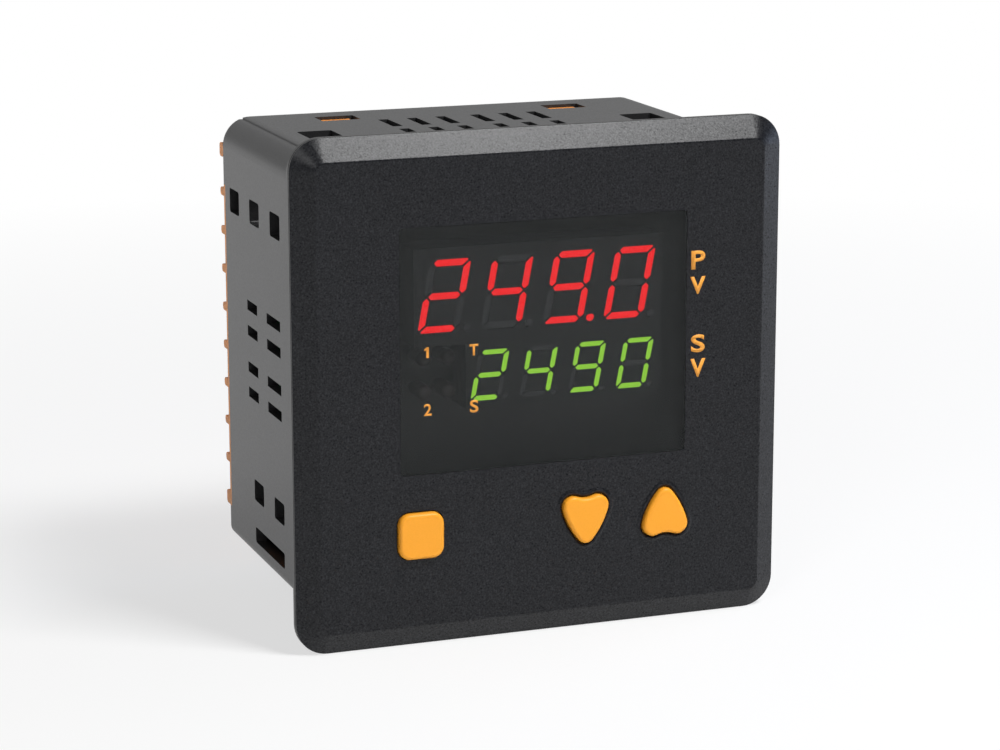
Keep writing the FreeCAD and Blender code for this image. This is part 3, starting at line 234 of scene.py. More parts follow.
def around(tree: NodeTree, pattern: NodeSocket, middle: float, spread: float) -> NodeSocket:
    """Let a noise, which strays by about 0.18 from one half, vary a value up and down."""
    return ramp(tree, pattern, (0.5 - 0.18, 0.5 + 0.18), (middle - spread, middle + spread))


def combine(tree: NodeTree, operation: str, first: NodeSocket, second: NodeSocket) -> NodeSocket:
    """Combine two values, by MULTIPLY or MAXIMUM."""
    return add_node(tree, "ShaderNodeMath", {"operation": operation}, {0: first, 1: second}).outputs[0]


def tinted(tree: NodeTree, code: str, tone: NodeSocket) -> NodeSocket:
    """Make a hex colour lighter or darker by a tone."""
    settings = {"operation": "SCALE", 0: linear(code)[:3]}
    return add_node(tree, "ShaderNodeVectorMath", settings, {"Scale": tone}).outputs["Vector"]


def bumped(tree: NodeTree, height: NodeSocket, strength: float, depth: float) -> NodeSocket:
    """Give the normals of a fine relief."""
    settings = {"Strength": strength, "Distance": depth}
    return add_node(tree, "ShaderNodeBump", settings, {"Height": height}).outputs["Normal"]


# ---------------------------------------------------------------------------
# Finishes
# ---------------------------------------------------------------------------
@dataclass(frozen=True)
class MouldedPlastic:
    """Injection-moulded ABS or polycarbonate with the grain of a spark-eroded mould.

    The grain scatters highlights into a soft sheen with a fine speckle; slow mottling keeps
    large faces from looking painted. Crests are the noise values between which a pale fleck
    fades into the colour: a painted glint off the grain, not a real reflection.
    """

    name: str
    colour: str
    roughness: float = 0.5
    grain_mm: float = 0.35
    grain_depth_mm: float = 0.02
    grain_strength: float = 0.5
    mottle: float = 0.12
    specular: float = 0.5
    painted_glint: float = 0.0
    sparkle: float = 0.15
    speckle: float = 0.14
    crests: tuple[float, float] = (0.56, 0.70)
    mottle_mm: float = 9.0
    rough_spread: float = 0.06

    def build(self) -> Material:
        """Make the material."""
        material = new_material(self.name)
        tree = material.node_tree
        point = object_point(tree)
        grain = noise(tree, point, self.grain_mm * MM, 3.0, 0.6)
        slow = noise(tree, point, self.mottle_mm * MM, 4.0)
        shade = around(tree, slow, 1.0, self.mottle)
        speckle = around(tree, grain, 1.0, self.speckle)
        # Painted glints: the colour is made lighter at the grain's crests, where the grain would catch
        # the light.
        painted_glints = ramp(tree, grain, self.crests, (1.0, 1.0 + self.painted_glint))
        tone = combine(tree, "MULTIPLY", shade, combine(tree, "MULTIPLY", speckle, painted_glints))
        return shaded(
            material,
            {"IOR": 1.5, "Specular IOR Level": self.specular},
            {
                "Base Color": tinted(tree, self.colour, tone),
                "Roughness": around(tree, grain, self.roughness, self.rough_spread),
                "Normal": bumped(tree, grain, self.grain_strength, self.grain_depth_mm * MM),
                "Specular IOR Level": around(tree, grain, self.specular, self.specular * self.sparkle),
            },
        )


@dataclass(frozen=True)
class SmokedAcrylic:
    """Cast acrylic tinted in the mass and polished: see-through, dark, with clear reflections."""

    name: str = "smoked_acrylic_polished"
    colour: str = "#383A3A"
    cover: float = 0.38
    specular: float = 0.12
    haze_mm: float = 4.0
    roughness: float = 0.09
    rough_spread: float = 0.03

    def build(self) -> Material:
        """Make the material."""
        material = new_material(self.name)
        tree = material.node_tree
        haze = noise(tree, object_point(tree), self.haze_mm * MM, 5.0)
        return shaded(
            material,
            {
                "Base Color": linear(self.colour),
                "IOR": 1.49,
                "Alpha": self.cover,
                "Specular IOR Level": self.specular,
            },
            {"Roughness": around(tree, haze, self.roughness, self.rough_spread)},
        )


@dataclass(frozen=True)
class LightGuide:
    """Milky epoxy that fills a segment; a lit one glows evenly over its face."""

    name: str
    colour: str
    glow: float = 0.0
    light: str = "#FFFFFF"
    cloud_mm: float = 0.9
    cloud: float = 0.04

    def build(self) -> Material:
        """Make the material."""
        material = new_material(self.name)
        tree = material.node_tree
        cloud = noise(tree, object_point(tree), self.cloud_mm * MM, 2.0)
        tone = around(tree, cloud, 1.0, self.cloud)
        return shaded(
            material,
            {"Roughness": 0.5, "Emission Strength": self.glow},
            {
                "Base Color": tinted(tree, self.colour, tone),
                "Emission Color": tinted(tree, self.light, tone),
            },
        )


@dataclass(frozen=True)
class Metal:
    """Bare or plated metal with fine lines along one axis from stamping or turning.

    The pattern is 2 mm along the lines and an eighth of that across them.
    """

    name: str
    colour: str
    roughness: float
    line_mm: float = 2.0
    lines_along: tuple[float, float, float] = (1.0, 1.0, 8.0)
    rough_spread: float = 0.08

    def build(self) -> Material:
        """Make the material."""
        material = new_material(self.name)
        tree = material.node_tree
        lines = noise(tree, object_point(tree, self.lines_along), self.line_mm * MM, 4.0)
        rough = around(tree, lines, self.roughness, self.rough_spread)
        return shaded(
            material,
            {"Base Color": linear(self.colour), "Metallic": 1.0},
            {"Roughness": rough, "Normal": bumped(tree, lines, 0.25, 0.01 * MM)},
        )


@dataclass(frozen=True)
class Laminate:
    """Circuit board: resin-bonded sheet, with copper runs that show through its coat."""

    name: str
    colour: str
    track: str
    track_mm: float = 2.54
    roughness: float = 0.35
    weave_mm: float = 0.5
    rough_spread: float = 0.05

    def build(self) -> Material:
        """Make the material."""
        material = new_material(self.name)
        tree = material.node_tree
        point = object_point(tree)
        runs = add_node(
            tree,
            "ShaderNodeTexVoronoi",
            {
                "distance": "CHEBYCHEV",
                "feature": "DISTANCE_TO_EDGE",
                "Scale": 1 / (self.track_mm * MM * 2),
            },
            {"Vector": point},
        ).outputs["Distance"]
        weave = noise(tree, point, self.weave_mm * MM, 2.0)
        colour = add_node(
            tree,
            "ShaderNodeMix",
            {"data_type": "RGBA", 6: linear(self.colour), 7: linear(self.track)},
            {0: ramp(tree, runs, (0.05, 0.07), (1.0, 0.0))},
        ).outputs[2]
        rough = around(tree, weave, self.roughness, self.rough_spread)
        return shaded(material, {}, {"Base Color": colour, "Roughness": rough})


@dataclass(frozen=True)
class WoundTape:
    """Polyester tape in overlapping turns round a winding or a capacitor's shrunk sleeve."""

    name: str
    colour: str
    turn_mm: float = 18.85
    roughness: float = 0.25

    def build(self) -> Material:
        """Make the material."""
        material = new_material(self.name)
        tree = material.node_tree
        bands = add_node(
            tree,
            "ShaderNodeTexWave",
            {
                "bands_direction": "Z",
                "wave_profile": "SAW",
                "Scale": math.tau / (self.turn_mm * MM * WAVE_TURN),
                "Distortion": 0.4,
            },
            {"Vector": object_point(tree)},
        ).outputs["Fac"]
        tone = ramp(tree, bands, (0.0, 1.0), (0.85, 1.05))
        return shaded(
            material,
            {"Roughness": self.roughness, "Coat Weight": 0.3},
            {
                "Base Color": tinted(tree, self.colour, tone),
                "Normal": bumped(tree, bands, 0.4, 0.03 * MM),
            },
        )


Finish = MouldedPlastic | SmokedAcrylic | LightGuide | Metal | Laminate | WoundTape

# ABS from a spark-eroded mould: a dull sheen that breaks into a fine speckle, with pale flecks
# painted into the colour as glints off the grain. Such a grain is near 0.1 mm, too fine to show, so it
# is drawn at 0.34 mm.
FASCIA_ABS = MouldedPlastic(
    "abs_fascia_grained",
    "#141519",
    roughness=0.325,
    grain_mm=0.34,
    grain_strength=0.35,
    mottle=0.08,
    specular=0.29,
    painted_glint=0.8,
    sparkle=0.5,
)
# ABS from a finer mould: smoother than the front, with an even satin sheen. The grain of this and
# the plastics below is drawn coarser than such moulds give, for the same reason.
SLEEVE_ABS = MouldedPlastic("abs_sleeve_satin", "#262627", 0.38, 0.30, 0.010, 0.35, 0.06, 0.6)
# Polycarbonate coloured in the mass: a clean, even orange with a soft highlight.
KEY_ORANGE = MouldedPlastic(
    "polycarbonate_key_orange", "#FCA82E", 0.42, 0.40, 0.006, 0.05, 0.008, 0.3, speckle=0.02
)
# ABS from a plain mould: a slightly dull orange.
COVER_ABS = MouldedPlastic("abs_cover_orange", "#F59A45", 0.45, 0.35, 0.01, 0.3, 0.03, 0.4)
# Glass-filled PBT, moulded matt so that only the segments draw the eye.
MODULE_PLASTIC = MouldedPlastic("pbt_display_module_matt", "#2E3031", 0.6, 0.25, 0.006, 0.2, 0.04, 0.35)
# Nylon, moulded: plain and dark with little gloss.
SWITCH_PLASTIC = MouldedPlastic("nylon_switch_body", "#202022", 0.5, 0.3, 0.008, 0.3, 0.05, 0.4)
# Filled epoxy, transfer-moulded: matt black, faintly sandy.
CHIP_EPOXY = MouldedPlastic("epoxy_chip_matt", "#1B1B1C", 0.6, 0.15, 0.008, 0.4, 0.05, 0.4)
# PBT from a polished mould: blue with a clear highlight.
RELAY_PBT = MouldedPlastic("pbt_relay_case_blue", "#2E63A8", 0.38, 0.3, 0.006, 0.2, 0.04, 0.5)
# Ferrite, pressed and ground: dark grey, finely pitted.
FERRITE = MouldedPlastic("ferrite_ground", "#3A3838", 0.45, 0.2, 0.01, 0.4, 0.10, 0.6)
# Acrylic, cast and polished: dark, and clear enough to read the digits behind it.
LENS = SmokedAcrylic()
# Screen-printed ink: a thin flat film, a shade duller than the keys.
PRINT_INK = MouldedPlastic("screen_ink_orange", "#EFA241", 0.5, 0.30, 0.003, 0.15, 0.03, 0.3)
# Diffusing epoxy, cast: lit ones glow evenly, unlit ones are a shade lighter than their module.
RED_LIT = LightGuide("epoxy_segment_red_lit", "#341C1E", 2.4, "#EB0A12")
GREEN_LIT = LightGuide("epoxy_segment_green_lit", "#2C3324", 2.4, "#88C530")
SEGMENT_DARK = LightGuide("epoxy_segment_unlit", "#4A4D4F")
LAMP_DARK = LightGuide("epoxy_lamp_unlit", "#3A3031")
# Glass-epoxy laminate under solder mask: satin, with copper runs a shade lighter.
BOARD_GREEN = Laminate("glass_epoxy_board_green", "#1F5A35", "#2F7A4A")
BOARD_BLACK = Laminate("glass_epoxy_board_black", "#2B2D2D", "#333535")
# Phenolic paper laminate: warm brown and duller.
BOARD_BROWN = Laminate("phenolic_board_brown", "#B4682C", "#8E4E20", 5.08, 0.5)
# Polyester tape, wound: glossy, with a fine step at the edge of each turn.
TAPE_YELLOW = WoundTape("polyester_tape_yellow", "#D9B13C")
# Polyester sleeve, shrunk on: dark blue and smooth.
SLEEVE_DARK = WoundTape("shrunk_sleeve_dark_blue", "#1B2138", 56.55, 0.3)
# Steel, zinc plated: cool white, a little dull.
ZINC_STEEL = Metal("steel_zinc_plated", "#C9C7C0", 0.32)
# Brass, tinned after stamping: warm white, satin.
TIN_BRASS = Metal("brass_tinned", "#CDBE93", 0.30)


# ---------------------------------------------------------------------------
# Modelling helpers
# ---------------------------------------------------------------------------
class Edit:
    """Edit mode on one object, with its elements picked in code."""

    def __init__(self, obj: Object) -> None:
        """Keep the object."""
        self.obj = obj

    def __enter__(self) -> "Edit":
        """Go into edit mode with nothing picked."""
        deselect_all()
        self.obj.select_set(True)
        bpy.context.view_layer.objects.active = self.obj
        bpy.ops.object.mode_set(mode="EDIT")
        bpy.ops.mesh.select_all(action="DESELECT")
        return self

    def __exit__(self, *problem: object) -> None:
        """Leave edit mode."""
        bpy.ops.object.mode_set(mode="OBJECT")

    def pick(self, kind: str, test: Callable[[Vector, Vector], bool]) -> int:
        """Pick faces, edges or vertices by their middle and normal.

        Args:
            kind: FACE, EDGE or VERT.
            test: says whether an element at this place with this normal is picked.

        Returns:
            How many were picked.
        """
        bpy.ops.mesh.select_mode(type=kind)
        bpy.ops.mesh.select_all(action="DESELECT")
        mesh = bmesh.from_edit_mesh(self.obj.data)
        mesh.normal_update()
        elements = {"FACE": mesh.faces, "EDGE": mesh.edges, "VERT": mesh.verts}[kind]
        count = 0
        for element in elements:
            if kind == "FACE":
                middle, normal = element.calc_center_median(), element.normal
            elif kind == "EDGE":
                middle = (element.verts[0].co + element.verts[1].co) / 2
                normal = (element.verts[1].co - element.verts[0].co).normalized()
            else:
                middle, normal = element.co, element.normal
            if test(middle, normal):
                element.select_set(True)
                count += 1
        mesh.select_flush_mode()
        bmesh.update_edit_mesh(self.obj.data)
        return count


def deselect_all() -> None:
    """Leave nothing selected, in object mode."""
    if bpy.context.object and bpy.context.object.mode != "OBJECT":
        bpy.ops.object.mode_set(mode="OBJECT")
    bpy.ops.object.select_all(action="DESELECT")


def apply_modifier(obj: Object, kind: str, **settings: object) -> None:
    """Add a modifier and apply it.

    Args:
        obj: the object.
        kind: Blender's modifier type.
        settings: the modifier's properties.
    """
    deselect_all()
    obj.select_set(True)
    bpy.context.view_layer.objects.active = obj
    modifier = obj.modifiers.new(kind.lower(), kind)
    for name, value in settings.items():
        setattr(modifier, name, value)
    bpy.ops.object.modifier_apply(modifier=modifier.name)


def smooth(obj: Object, angle: float = 30.0) -> None:
    """Shade smooth, with edges sharper than an angle kept."""
    deselect_all()
    obj.select_set(True)
    bpy.context.view_layer.objects.active = obj
    bpy.ops.object.shade_smooth_by_angle(angle=math.radians(angle))


def join(parts: Sequence[Object], name: str) -> Object:
    """Join objects into one.

    Args:
        parts: the objects.
        name: name of the result.

    Returns:
        The joined object.
    """
    deselect_all()
    for part in parts:
        part.select_set(True)
    bpy.context.view_layer.objects.active = parts[0]
    if len(parts) > 1:
        bpy.ops.object.join()
    joined = bpy.context.view_layer.objects.active
    joined.name = name
    joined.data.name = name
    return joined


def copy_of(obj: Object, name: str, matrix: Matrix) -> Object:
    """Copy an object with a mesh of its own, moved by a matrix."""
    twin = obj.copy()
    twin.data = obj.data.copy()
    twin.name = name
    twin.data.transform(matrix)
    bpy.context.scene.collection.objects.link(twin)
    return twin


def dress(obj: Object, material: Material) -> None:
    """Give an object one material all over."""
    obj.data.materials.clear()
    obj.data.materials.append(material)


@dataclass
class Workshop:
    """Materials by finish, and the frame that pieces are fitted to."""

    frame: dict
    made: dict[str, Material] = field(default_factory=dict)

    def material(self, finish: Finish) -> Material:
        """Give the material of a finish, made once."""
        if finish.name not in self.made:
            self.made[finish.name] = finish.build()
        return self.made[finish.name]

    def dress_node(self, node: str, finish: Finish) -> None:
        """Give a node of the frame its finish."""
        dress(self.frame["nodes"][node], self.material(finish))
        LOG.info("node %s: %s", node, finish.name)

    def add(
        self, piece: Object, body: str, slot: str, finish: Finish, replaces: Sequence[str] = ()
    ) -> Object:
        """Finish a new piece and tie it to its body.

        Args:
            piece: the object, already in place.
            body: the body that it moves with.
            slot: the record's material slot; not used.
            finish: its finish.
            replaces: nodes that it stands for.

        Returns:
            The piece.
        """
        dress(piece, self.material(finish))
        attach(piece, body)
        if replaces:
            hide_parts(*replaces)
        LOG.info("piece %s on %s: %s", piece.name, body, finish.name)
        return piece

    def refine(
        self,
        node: str,
        body: str,
        slot: str,
        finish: Finish,
        shape: Callable[[Object], None] | None = None,
        angle: float = 28.0,
    ) -> Object:
        """Stand a smooth-shaded copy in for a node.

        Args:
            node: the node.
            body: the body that it moves with.
            slot: the record's material slot.
            finish: its finish.
            shape: changes the copy's mesh before it is shaded.
            angle: edges sharper than this stay crisp.

        Returns:
            The copy.
        """
        source = self.frame["nodes"][node]
        piece = bpy.data.objects.new(node + "_surface", source.data.copy())
        bpy.context.scene.collection.objects.link(piece)
        with Edit(piece):
            bpy.ops.mesh.select_all(action="SELECT")
            bpy.ops.mesh.remove_doubles(threshold=0.5 * NEAR)
            bpy.ops.mesh.dissolve_limited(angle_limit=FLAT)
            bpy.ops.mesh.select_all(action="DESELECT")
        if shape:
            shape(piece)
        smooth(piece, angle)
        apply_modifier(piece, "WEIGHTED_NORMAL", keep_sharp=True, weight=100)
        return self.add(piece, body, slot, finish, [node])


# ---------------------------------------------------------------------------
# Seven-segment displays
# ---------------------------------------------------------------------------
class Segment(Enum):
    """Segments of a digit: middle column and row, and the way each bar runs."""

    A = (0, 1.0, "across")
    B = (1, 0.5, "upright")
    C = (1, -0.5, "upright")
    D = (0, -1.0, "across")
    E = (-1, -0.5, "upright")
    F = (-1, 0.5, "upright")
    G = (0, 0.0, "across")


DIGITS: dict[str, str] = {
    "0": "ABCDEF",
    "1": "BC",
    "2": "ABDEG",
    "3": "ABCDG",
    "4": "BCFG",
    "5": "ACDFG",
    "6": "ACDEFG",
    "7": "ABC",
    "8": "ABCDEFG",
    "9": "ABCDFG",
}


@dataclass
class SegmentDisplay:
    """One row of digits in its module: lit and unlit light guides."""

    prefix: str
    text: str
    mid_x: float
    mid_z: float
    height: float
    width: float
    pitch: float
    stroke: float
    lit_finish: LightGuide
    slot: str
    gap: float = 0.45 * MM
    slant: float = math.radians(10.8)
    face_y: float = -1.0 * MM
    depth: float = 0.45 * MM
    tip_flat: float = 0.08
    sharp_cut: float = 0.15
    even_cut: float = 0.42
    dot_gap: float = 0.3 * MM
    dot_share: float = 1.12
    dot_edge: float = 0.05 * MM
    proud: float = 0.02 * MM
    middle_place: float = 1.5

    def bar(self, segment: Segment) -> Object:
        """Model one segment about its digit's middle, the digit upright and unslanted.

        Args:
            segment: which one.

        Returns:
            The bar, mitred where it meets its neighbours.
        """
        column, row, run = segment.value
        reach_x = self.width / 2 - self.stroke / 2
        reach_z = self.height / 2 - self.stroke / 2
        half_run = reach_x if run == "across" else reach_z / 2
        low, high = (-half_run - self.overrun(segment, -1), half_run + self.overrun(segment, 1))
        deselect_all()
        bpy.ops.mesh.primitive_plane_add(size=1.0)
        obj = bpy.context.object
        length, middle = high - low, (high + low) / 2
        obj.data.transform(Matrix.Diagonal((length, self.stroke, 1, 1)))
        obj.data.transform(Matrix.Translation((middle, 0, 0)))
        for end, along in ((-1, low), (1, high)):
            for side in (-1, 1):
                corner = Vector((along, side * self.stroke / 2, 0))
                with Edit(obj) as edit:
                    edit.pick("VERT", lambda at, normal: (at - corner).length < NEAR)
                    cut = self.cut(segment, end, side) * self.stroke
                    bpy.ops.mesh.bevel(affect="VERTICES", offset=cut, offset_type="OFFSET", segments=1)
        with Edit(obj):
            bpy.ops.mesh.select_all(action="SELECT")
            bpy.ops.mesh.extrude_region_move(TRANSFORM_OT_translate={"value": (0, 0, -self.depth)})
            bpy.ops.mesh.select_all(action="SELECT")
            bpy.ops.mesh.normals_make_consistent(inside=False)
        if run == "upright":
            obj.data.transform(Matrix(((0, 1, 0, 0), (1, 0, 0, 0), (0, 0, 1, 0), (0, 0, 0, 1))))
            obj.data.flip_normals()
        obj.data.transform(Matrix.Translation((column * reach_x, row * reach_z, 0)))
        return obj

    def outer_cut(self, segment: Segment, end: int) -> float:
        """Share of the stroke cut off the outer corner at one end of a bar.

        Args:
            segment: the bar.
            end: -1 at its left or foot, 1 at its right or top.

        Returns:
            The share. A bar's end is blunt at the middle row, sharp at the digit's upper right and
            lower left, and nearly even at the other two corners.
        """
        column, row, run = segment.value
        if run == "across":
            column = end
        elif end * row < 0:
            row = 0
        if row == 0:
            return (1 - self.tip_flat) / 2
        return self.sharp_cut if column * row > 0 else self.even_cut

    def overrun(self, segment: Segment, end: int) -> float:
        """How far a bar runs beyond its corner's middle, with the gap to its neighbour taken off."""
        inner = 1 - self.tip_flat - self.outer_cut(segment, end)
        return (inner - 0.5) * self.stroke - self.gap * math.sqrt(0.5)

    def cut(self, segment: Segment, end: int, side: int) -> float:
        """Share of the stroke cut off one corner of a bar.

        Args:
            segment: the bar.
            end: -1 at its left or foot, 1 at its right or top.
            side: -1 at its foot or left, 1 at its top or right.

        Returns:
            The cut, at 45 degrees, as a share of the stroke.
        """
        column, row, run = segment.value
        outer = self.outer_cut(segment, end)
        outside = side * (row if run == "across" else column) > 0
        return outer if outside else 1 - self.tip_flat - outer

    def to_face(self, place: int) -> Matrix:
        """Matrix from a digit's own plane onto the module's face."""
        shear = Matrix.Identity(4)
        shear[0][1] = math.tan(self.slant)
        stand = Matrix(((1, 0, 0, 0), (0, 0, -1, 0), (0, 1, 0, 0), (0, 0, 0, 1)))
        x = self.mid_x + (place - self.middle_place) * self.pitch
        return Matrix.Translation((x, self.face_y - self.proud, self.mid_z)) @ stand @ shear

    def build(self, shop: Workshop) -> None:
        """Build all digits and dots, lit and unlit."""
        bars = {segment: self.bar(segment) for segment in Segment}
        dot = self.dot()
        digits = [character for character in self.text if character != "."]
        point_after = self.text.index(".") - 1 if "." in self.text else -1
        lit: list[Object] = []
        dark: list[Object] = []
        for place, digit in enumerate(digits):
            matrix = self.to_face(place)
            for segment, bar in bars.items():
                chosen = lit if segment.name in DIGITS[digit] else dark
                chosen.append(copy_of(bar, "bar", matrix))
            (lit if place == point_after else dark).append(copy_of(dot, "dot", matrix))
        for template in [*bars.values(), dot]:
            bpy.data.objects.remove(template)
        shown = join(lit, self.prefix + "_segments_lit")
        ghost = join(dark, self.prefix + "_segments_unlit")
        shop.add(shown, "instrument", self.slot, self.lit_finish, [self.prefix + "_segments"])
        shop.add(ghost, "instrument", self.slot, SEGMENT_DARK)

    def dot(self) -> Object:
        """Model the decimal point at a digit's lower right."""
        deselect_all()
        radius = self.dot_share * self.stroke / 2
        bpy.ops.mesh.primitive_cylinder_add(vertices=32, radius=radius, depth=self.depth)
        obj = bpy.context.object
        with Edit(obj) as edit:
            edit.pick("FACE", lambda at, normal: normal.z > 0.9)
            bpy.ops.mesh.bevel(affect="EDGES", offset=self.dot_edge, segments=2)
        x = self.width / 2 + self.dot_gap + radius
        z = -self.height / 2 + self.stroke / 2
        obj.data.transform(Matrix.Translation((x, z, -self.depth / 2)))
        return obj


# ---------------------------------------------------------------------------
# Printed legends
# ---------------------------------------------------------------------------
@dataclass
class Legend:
    """One printed word: left and right edges, foot and top, in millimetres on the face."""

    name: str
    text: str
    left: float
    right: float
    foot: float
    top: float
    weight: float = 0.16


@dataclass
class FrontPrint:
    """Orange print beside and on the window.

    Film is the share of the ink's height that is solid; boldness scales a legend's weight.
    """

    face_y: float = -4.0 * MM
    ink: float = 0.02 * MM
    film: float = 0.9
    boldness: float = 0.12
    legends: tuple[Legend, ...] = (
        Legend("legend_actual_p", "P", 29.15, 32.0, 19.8, 23.35, 0.20),
        Legend("legend_actual_v", "V", 29.0, 32.1, 15.05, 18.4, 0.30),
        Legend("legend_set_s", "S", 29.3, 32.15, 3.85, 7.3, 0.22),
        Legend("legend_set_v", "V", 29.2, 32.3, -0.9, 2.65, 0.30),
        Legend("legend_lamp_2", "2", -23.8, -22.3, -3.85, -1.6, 0.14),
        Legend("legend_lamp_t", "T", -14.9, -13.2, 6.75, 8.9, 0.24),
        Legend("legend_lamp_s", "S", -14.85, -13.2, -4.0, -1.6, 0.18),
    )

    def letter(self, legend: Legend) -> Object:
        """Model one legend as a thin film of ink on the face."""
        deselect_all()
        bpy.ops.object.text_add()
        obj = bpy.context.object
        obj.data.body = legend.text
        obj.data.size = 1.0
        obj.data.resolution_u = 6
        obj.data.offset = legend.weight * self.boldness
        bpy.ops.object.convert(target="MESH")
        obj = bpy.context.object
        obj.name = legend.name
        low, high = (
            Vector((end(v.co.x for v in obj.data.vertices), end(v.co.y for v in obj.data.vertices), 0))
            for end in (min, max)
        )
        scale_x = (legend.right - legend.left) * MM / (high.x - low.x)
        scale_z = (legend.top - legend.foot) * MM / (high.y - low.y)
        obj.data.transform(Matrix.Diagonal((scale_x, scale_z, 1, 1)) @ Matrix.Translation(-low))
        stand = Matrix(((1, 0, 0, 0), (0, 0, -1, 0), (0, 1, 0, 0), (0, 0, 0, 1)))
        place = Matrix.Translation((legend.left * MM, self.face_y - self.ink, legend.foot * MM))
        obj.data.transform(place @ stand)
        with Edit(obj):
            bpy.ops.mesh.select_all(action="SELECT")
            bpy.ops.mesh.remove_doubles(threshold=NEAR)
            thickness = (0, self.ink * self.film, 0)
            bpy.ops.mesh.extrude_region_move(TRANSFORM_OT_translate={"value": thickness})
            bpy.ops.mesh.select_all(action="SELECT")
            bpy.ops.mesh.normals_make_consistent(inside=False)
        return obj

    def figure_one(self) -> Object:
        """Model the figure one: a stem with a short flag at its top."""
        stem_width, height, flag = 0.5 * MM, 2.0 * MM, 0.62 * MM
        right, foot = -22.75 * MM, 7.0 * MM
        flag_width, flag_height, flag_slope = stem_width * 0.75, height * 0.74, height * 0.16
        thickness = self.ink * self.film
        parts = []
        for width, tall, middle_x, middle_z in (
            (stem_width, height, right - stem_width / 2, foot + height / 2),
            (flag, flag_width, right - stem_width * 0.5 - flag / 2, foot + flag_height),
        ):
            deselect_all()
            bpy.ops.mesh.primitive_cube_add(size=1.0)
            part = bpy.context.object
            part.data.transform(Matrix.Diagonal((width, thickness, tall, 1)))
            middle_y = self.face_y - self.ink + thickness / 2
            part.data.transform(Matrix.Translation((middle_x, middle_y, middle_z)))
            parts.append(part)
        with Edit(parts[1]) as edit:
            edit.pick("VERT", lambda at, normal: at.x > right - stem_width)
            bpy.ops.transform.translate(value=(0, 0, flag_slope))
        return join(parts, "legend_lamp_1")

    def build(self, shop: Workshop) -> None:
        """Print every legend."""
        for legend in self.legends:
            shop.add(self.letter(legend), "instrument", "key_plastic", PRINT_INK)
        shop.add(self.figure_one(), "instrument", "key_plastic", PRINT_INK)


# ---------------------------------------------------------------------------
# Terminal screws
# ---------------------------------------------------------------------------
@dataclass
class TerminalScrews:
    """Pan-head screws with a combined slot and cross, one per terminal."""

    count: int = 9
    head_radius: float = 2.6 * MM
    head_height: float = 1.9 * MM
    shank_radius: float = 1.45 * MM
    slot_width: float = 0.7 * MM
    slot_depth: float = 1.0 * MM
    slot_reach: float = 2.4
    cross_length: float = 4.2 * MM
    head_round: float = 0.75 * MM
    shank_chamfer: float = 0.4 * MM
    slot_turn: float = 20.0
    screw_turn: float = 37.0

    def screw(self, box: tuple[Vector, Vector]) -> Object:
        """Model one screw along +Y, its head's back on the plane y = 0.

        Args:
            box: the CAD box of a column of screws, whose depth gives the length.

        Returns:
            The screw.
        """
        length = box[1].y - box[0].y
        deselect_all()
        bpy.ops.mesh.primitive_cylinder_add(
            vertices=40, radius=self.head_radius, depth=self.head_height
        )
        head = bpy.context.object
        head.data.transform(Matrix.Translation((0, 0, -self.head_height / 2)))
        with Edit(head) as edit:
            edit.pick("FACE", lambda at, normal: normal.z > 0.9)
            bpy.ops.mesh.bevel(affect="EDGES", offset=self.head_round, segments=4, profile=0.5)
        for turn in (0, 90):
            deselect_all()
            bpy.ops.mesh.primitive_cube_add(size=1.0)
            tool = bpy.context.object
            long = self.cross_length if turn else self.slot_reach * self.head_radius
            tool.data.transform(Matrix.Diagonal((long, self.slot_width, 2 * self.slot_depth, 1)))
            tool.data.transform(Matrix.Rotation(math.radians(turn + self.slot_turn), 4, "Z"))
            apply_modifier(head, "BOOLEAN", operation="DIFFERENCE", object=tool, solver="EXACT")
            bpy.data.objects.remove(tool)
        deselect_all()
        shank_length = length - self.head_height
        bpy.ops.mesh.primitive_cylinder_add(vertices=24, radius=self.shank_radius, depth=shank_length)
        shank = bpy.context.object
        shank.data.transform(Matrix.Translation((0, 0, -self.head_height - shank_length / 2)))
        with Edit(shank) as edit:
            edit.pick("FACE", lambda at, normal: normal.z < -0.9)
            bpy.ops.mesh.bevel(affect="EDGES", offset=self.shank_chamfer, segments=1)
        screw = join([head, shank], "screw")
        screw.data.transform(Matrix.Rotation(math.radians(-90), 4, "X"))
        smooth(screw)
        return screw

    def build(self, shop: Workshop) -> None:
        """Put a screw in every terminal."""
        for side in ("left", "right"):
            node = "terminal_screws_" + side
            low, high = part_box(node)
            template = self.screw((low, high))
            first_z = low.z + self.head_radius
            pitch = (high.z - low.z - 2 * self.head_radius) / (self.count - 1)
            mid_x = (low.x + high.x) / 2
            parts = []
            for index in range(self.count):
                turn = Matrix.Rotation(math.radians(self.screw_turn * index), 4, "Y")
                place = Matrix.Translation((mid_x, high.y, first_z + index * pitch)) @ turn
                parts.append(copy_of(template, "screw_%d" % index, place))
            bpy.data.objects.remove(template)
            piece = join(parts, node + "_detailed")
            shop.add(piece, "instrument", "screw_steel", ZINC_STEEL, [node])


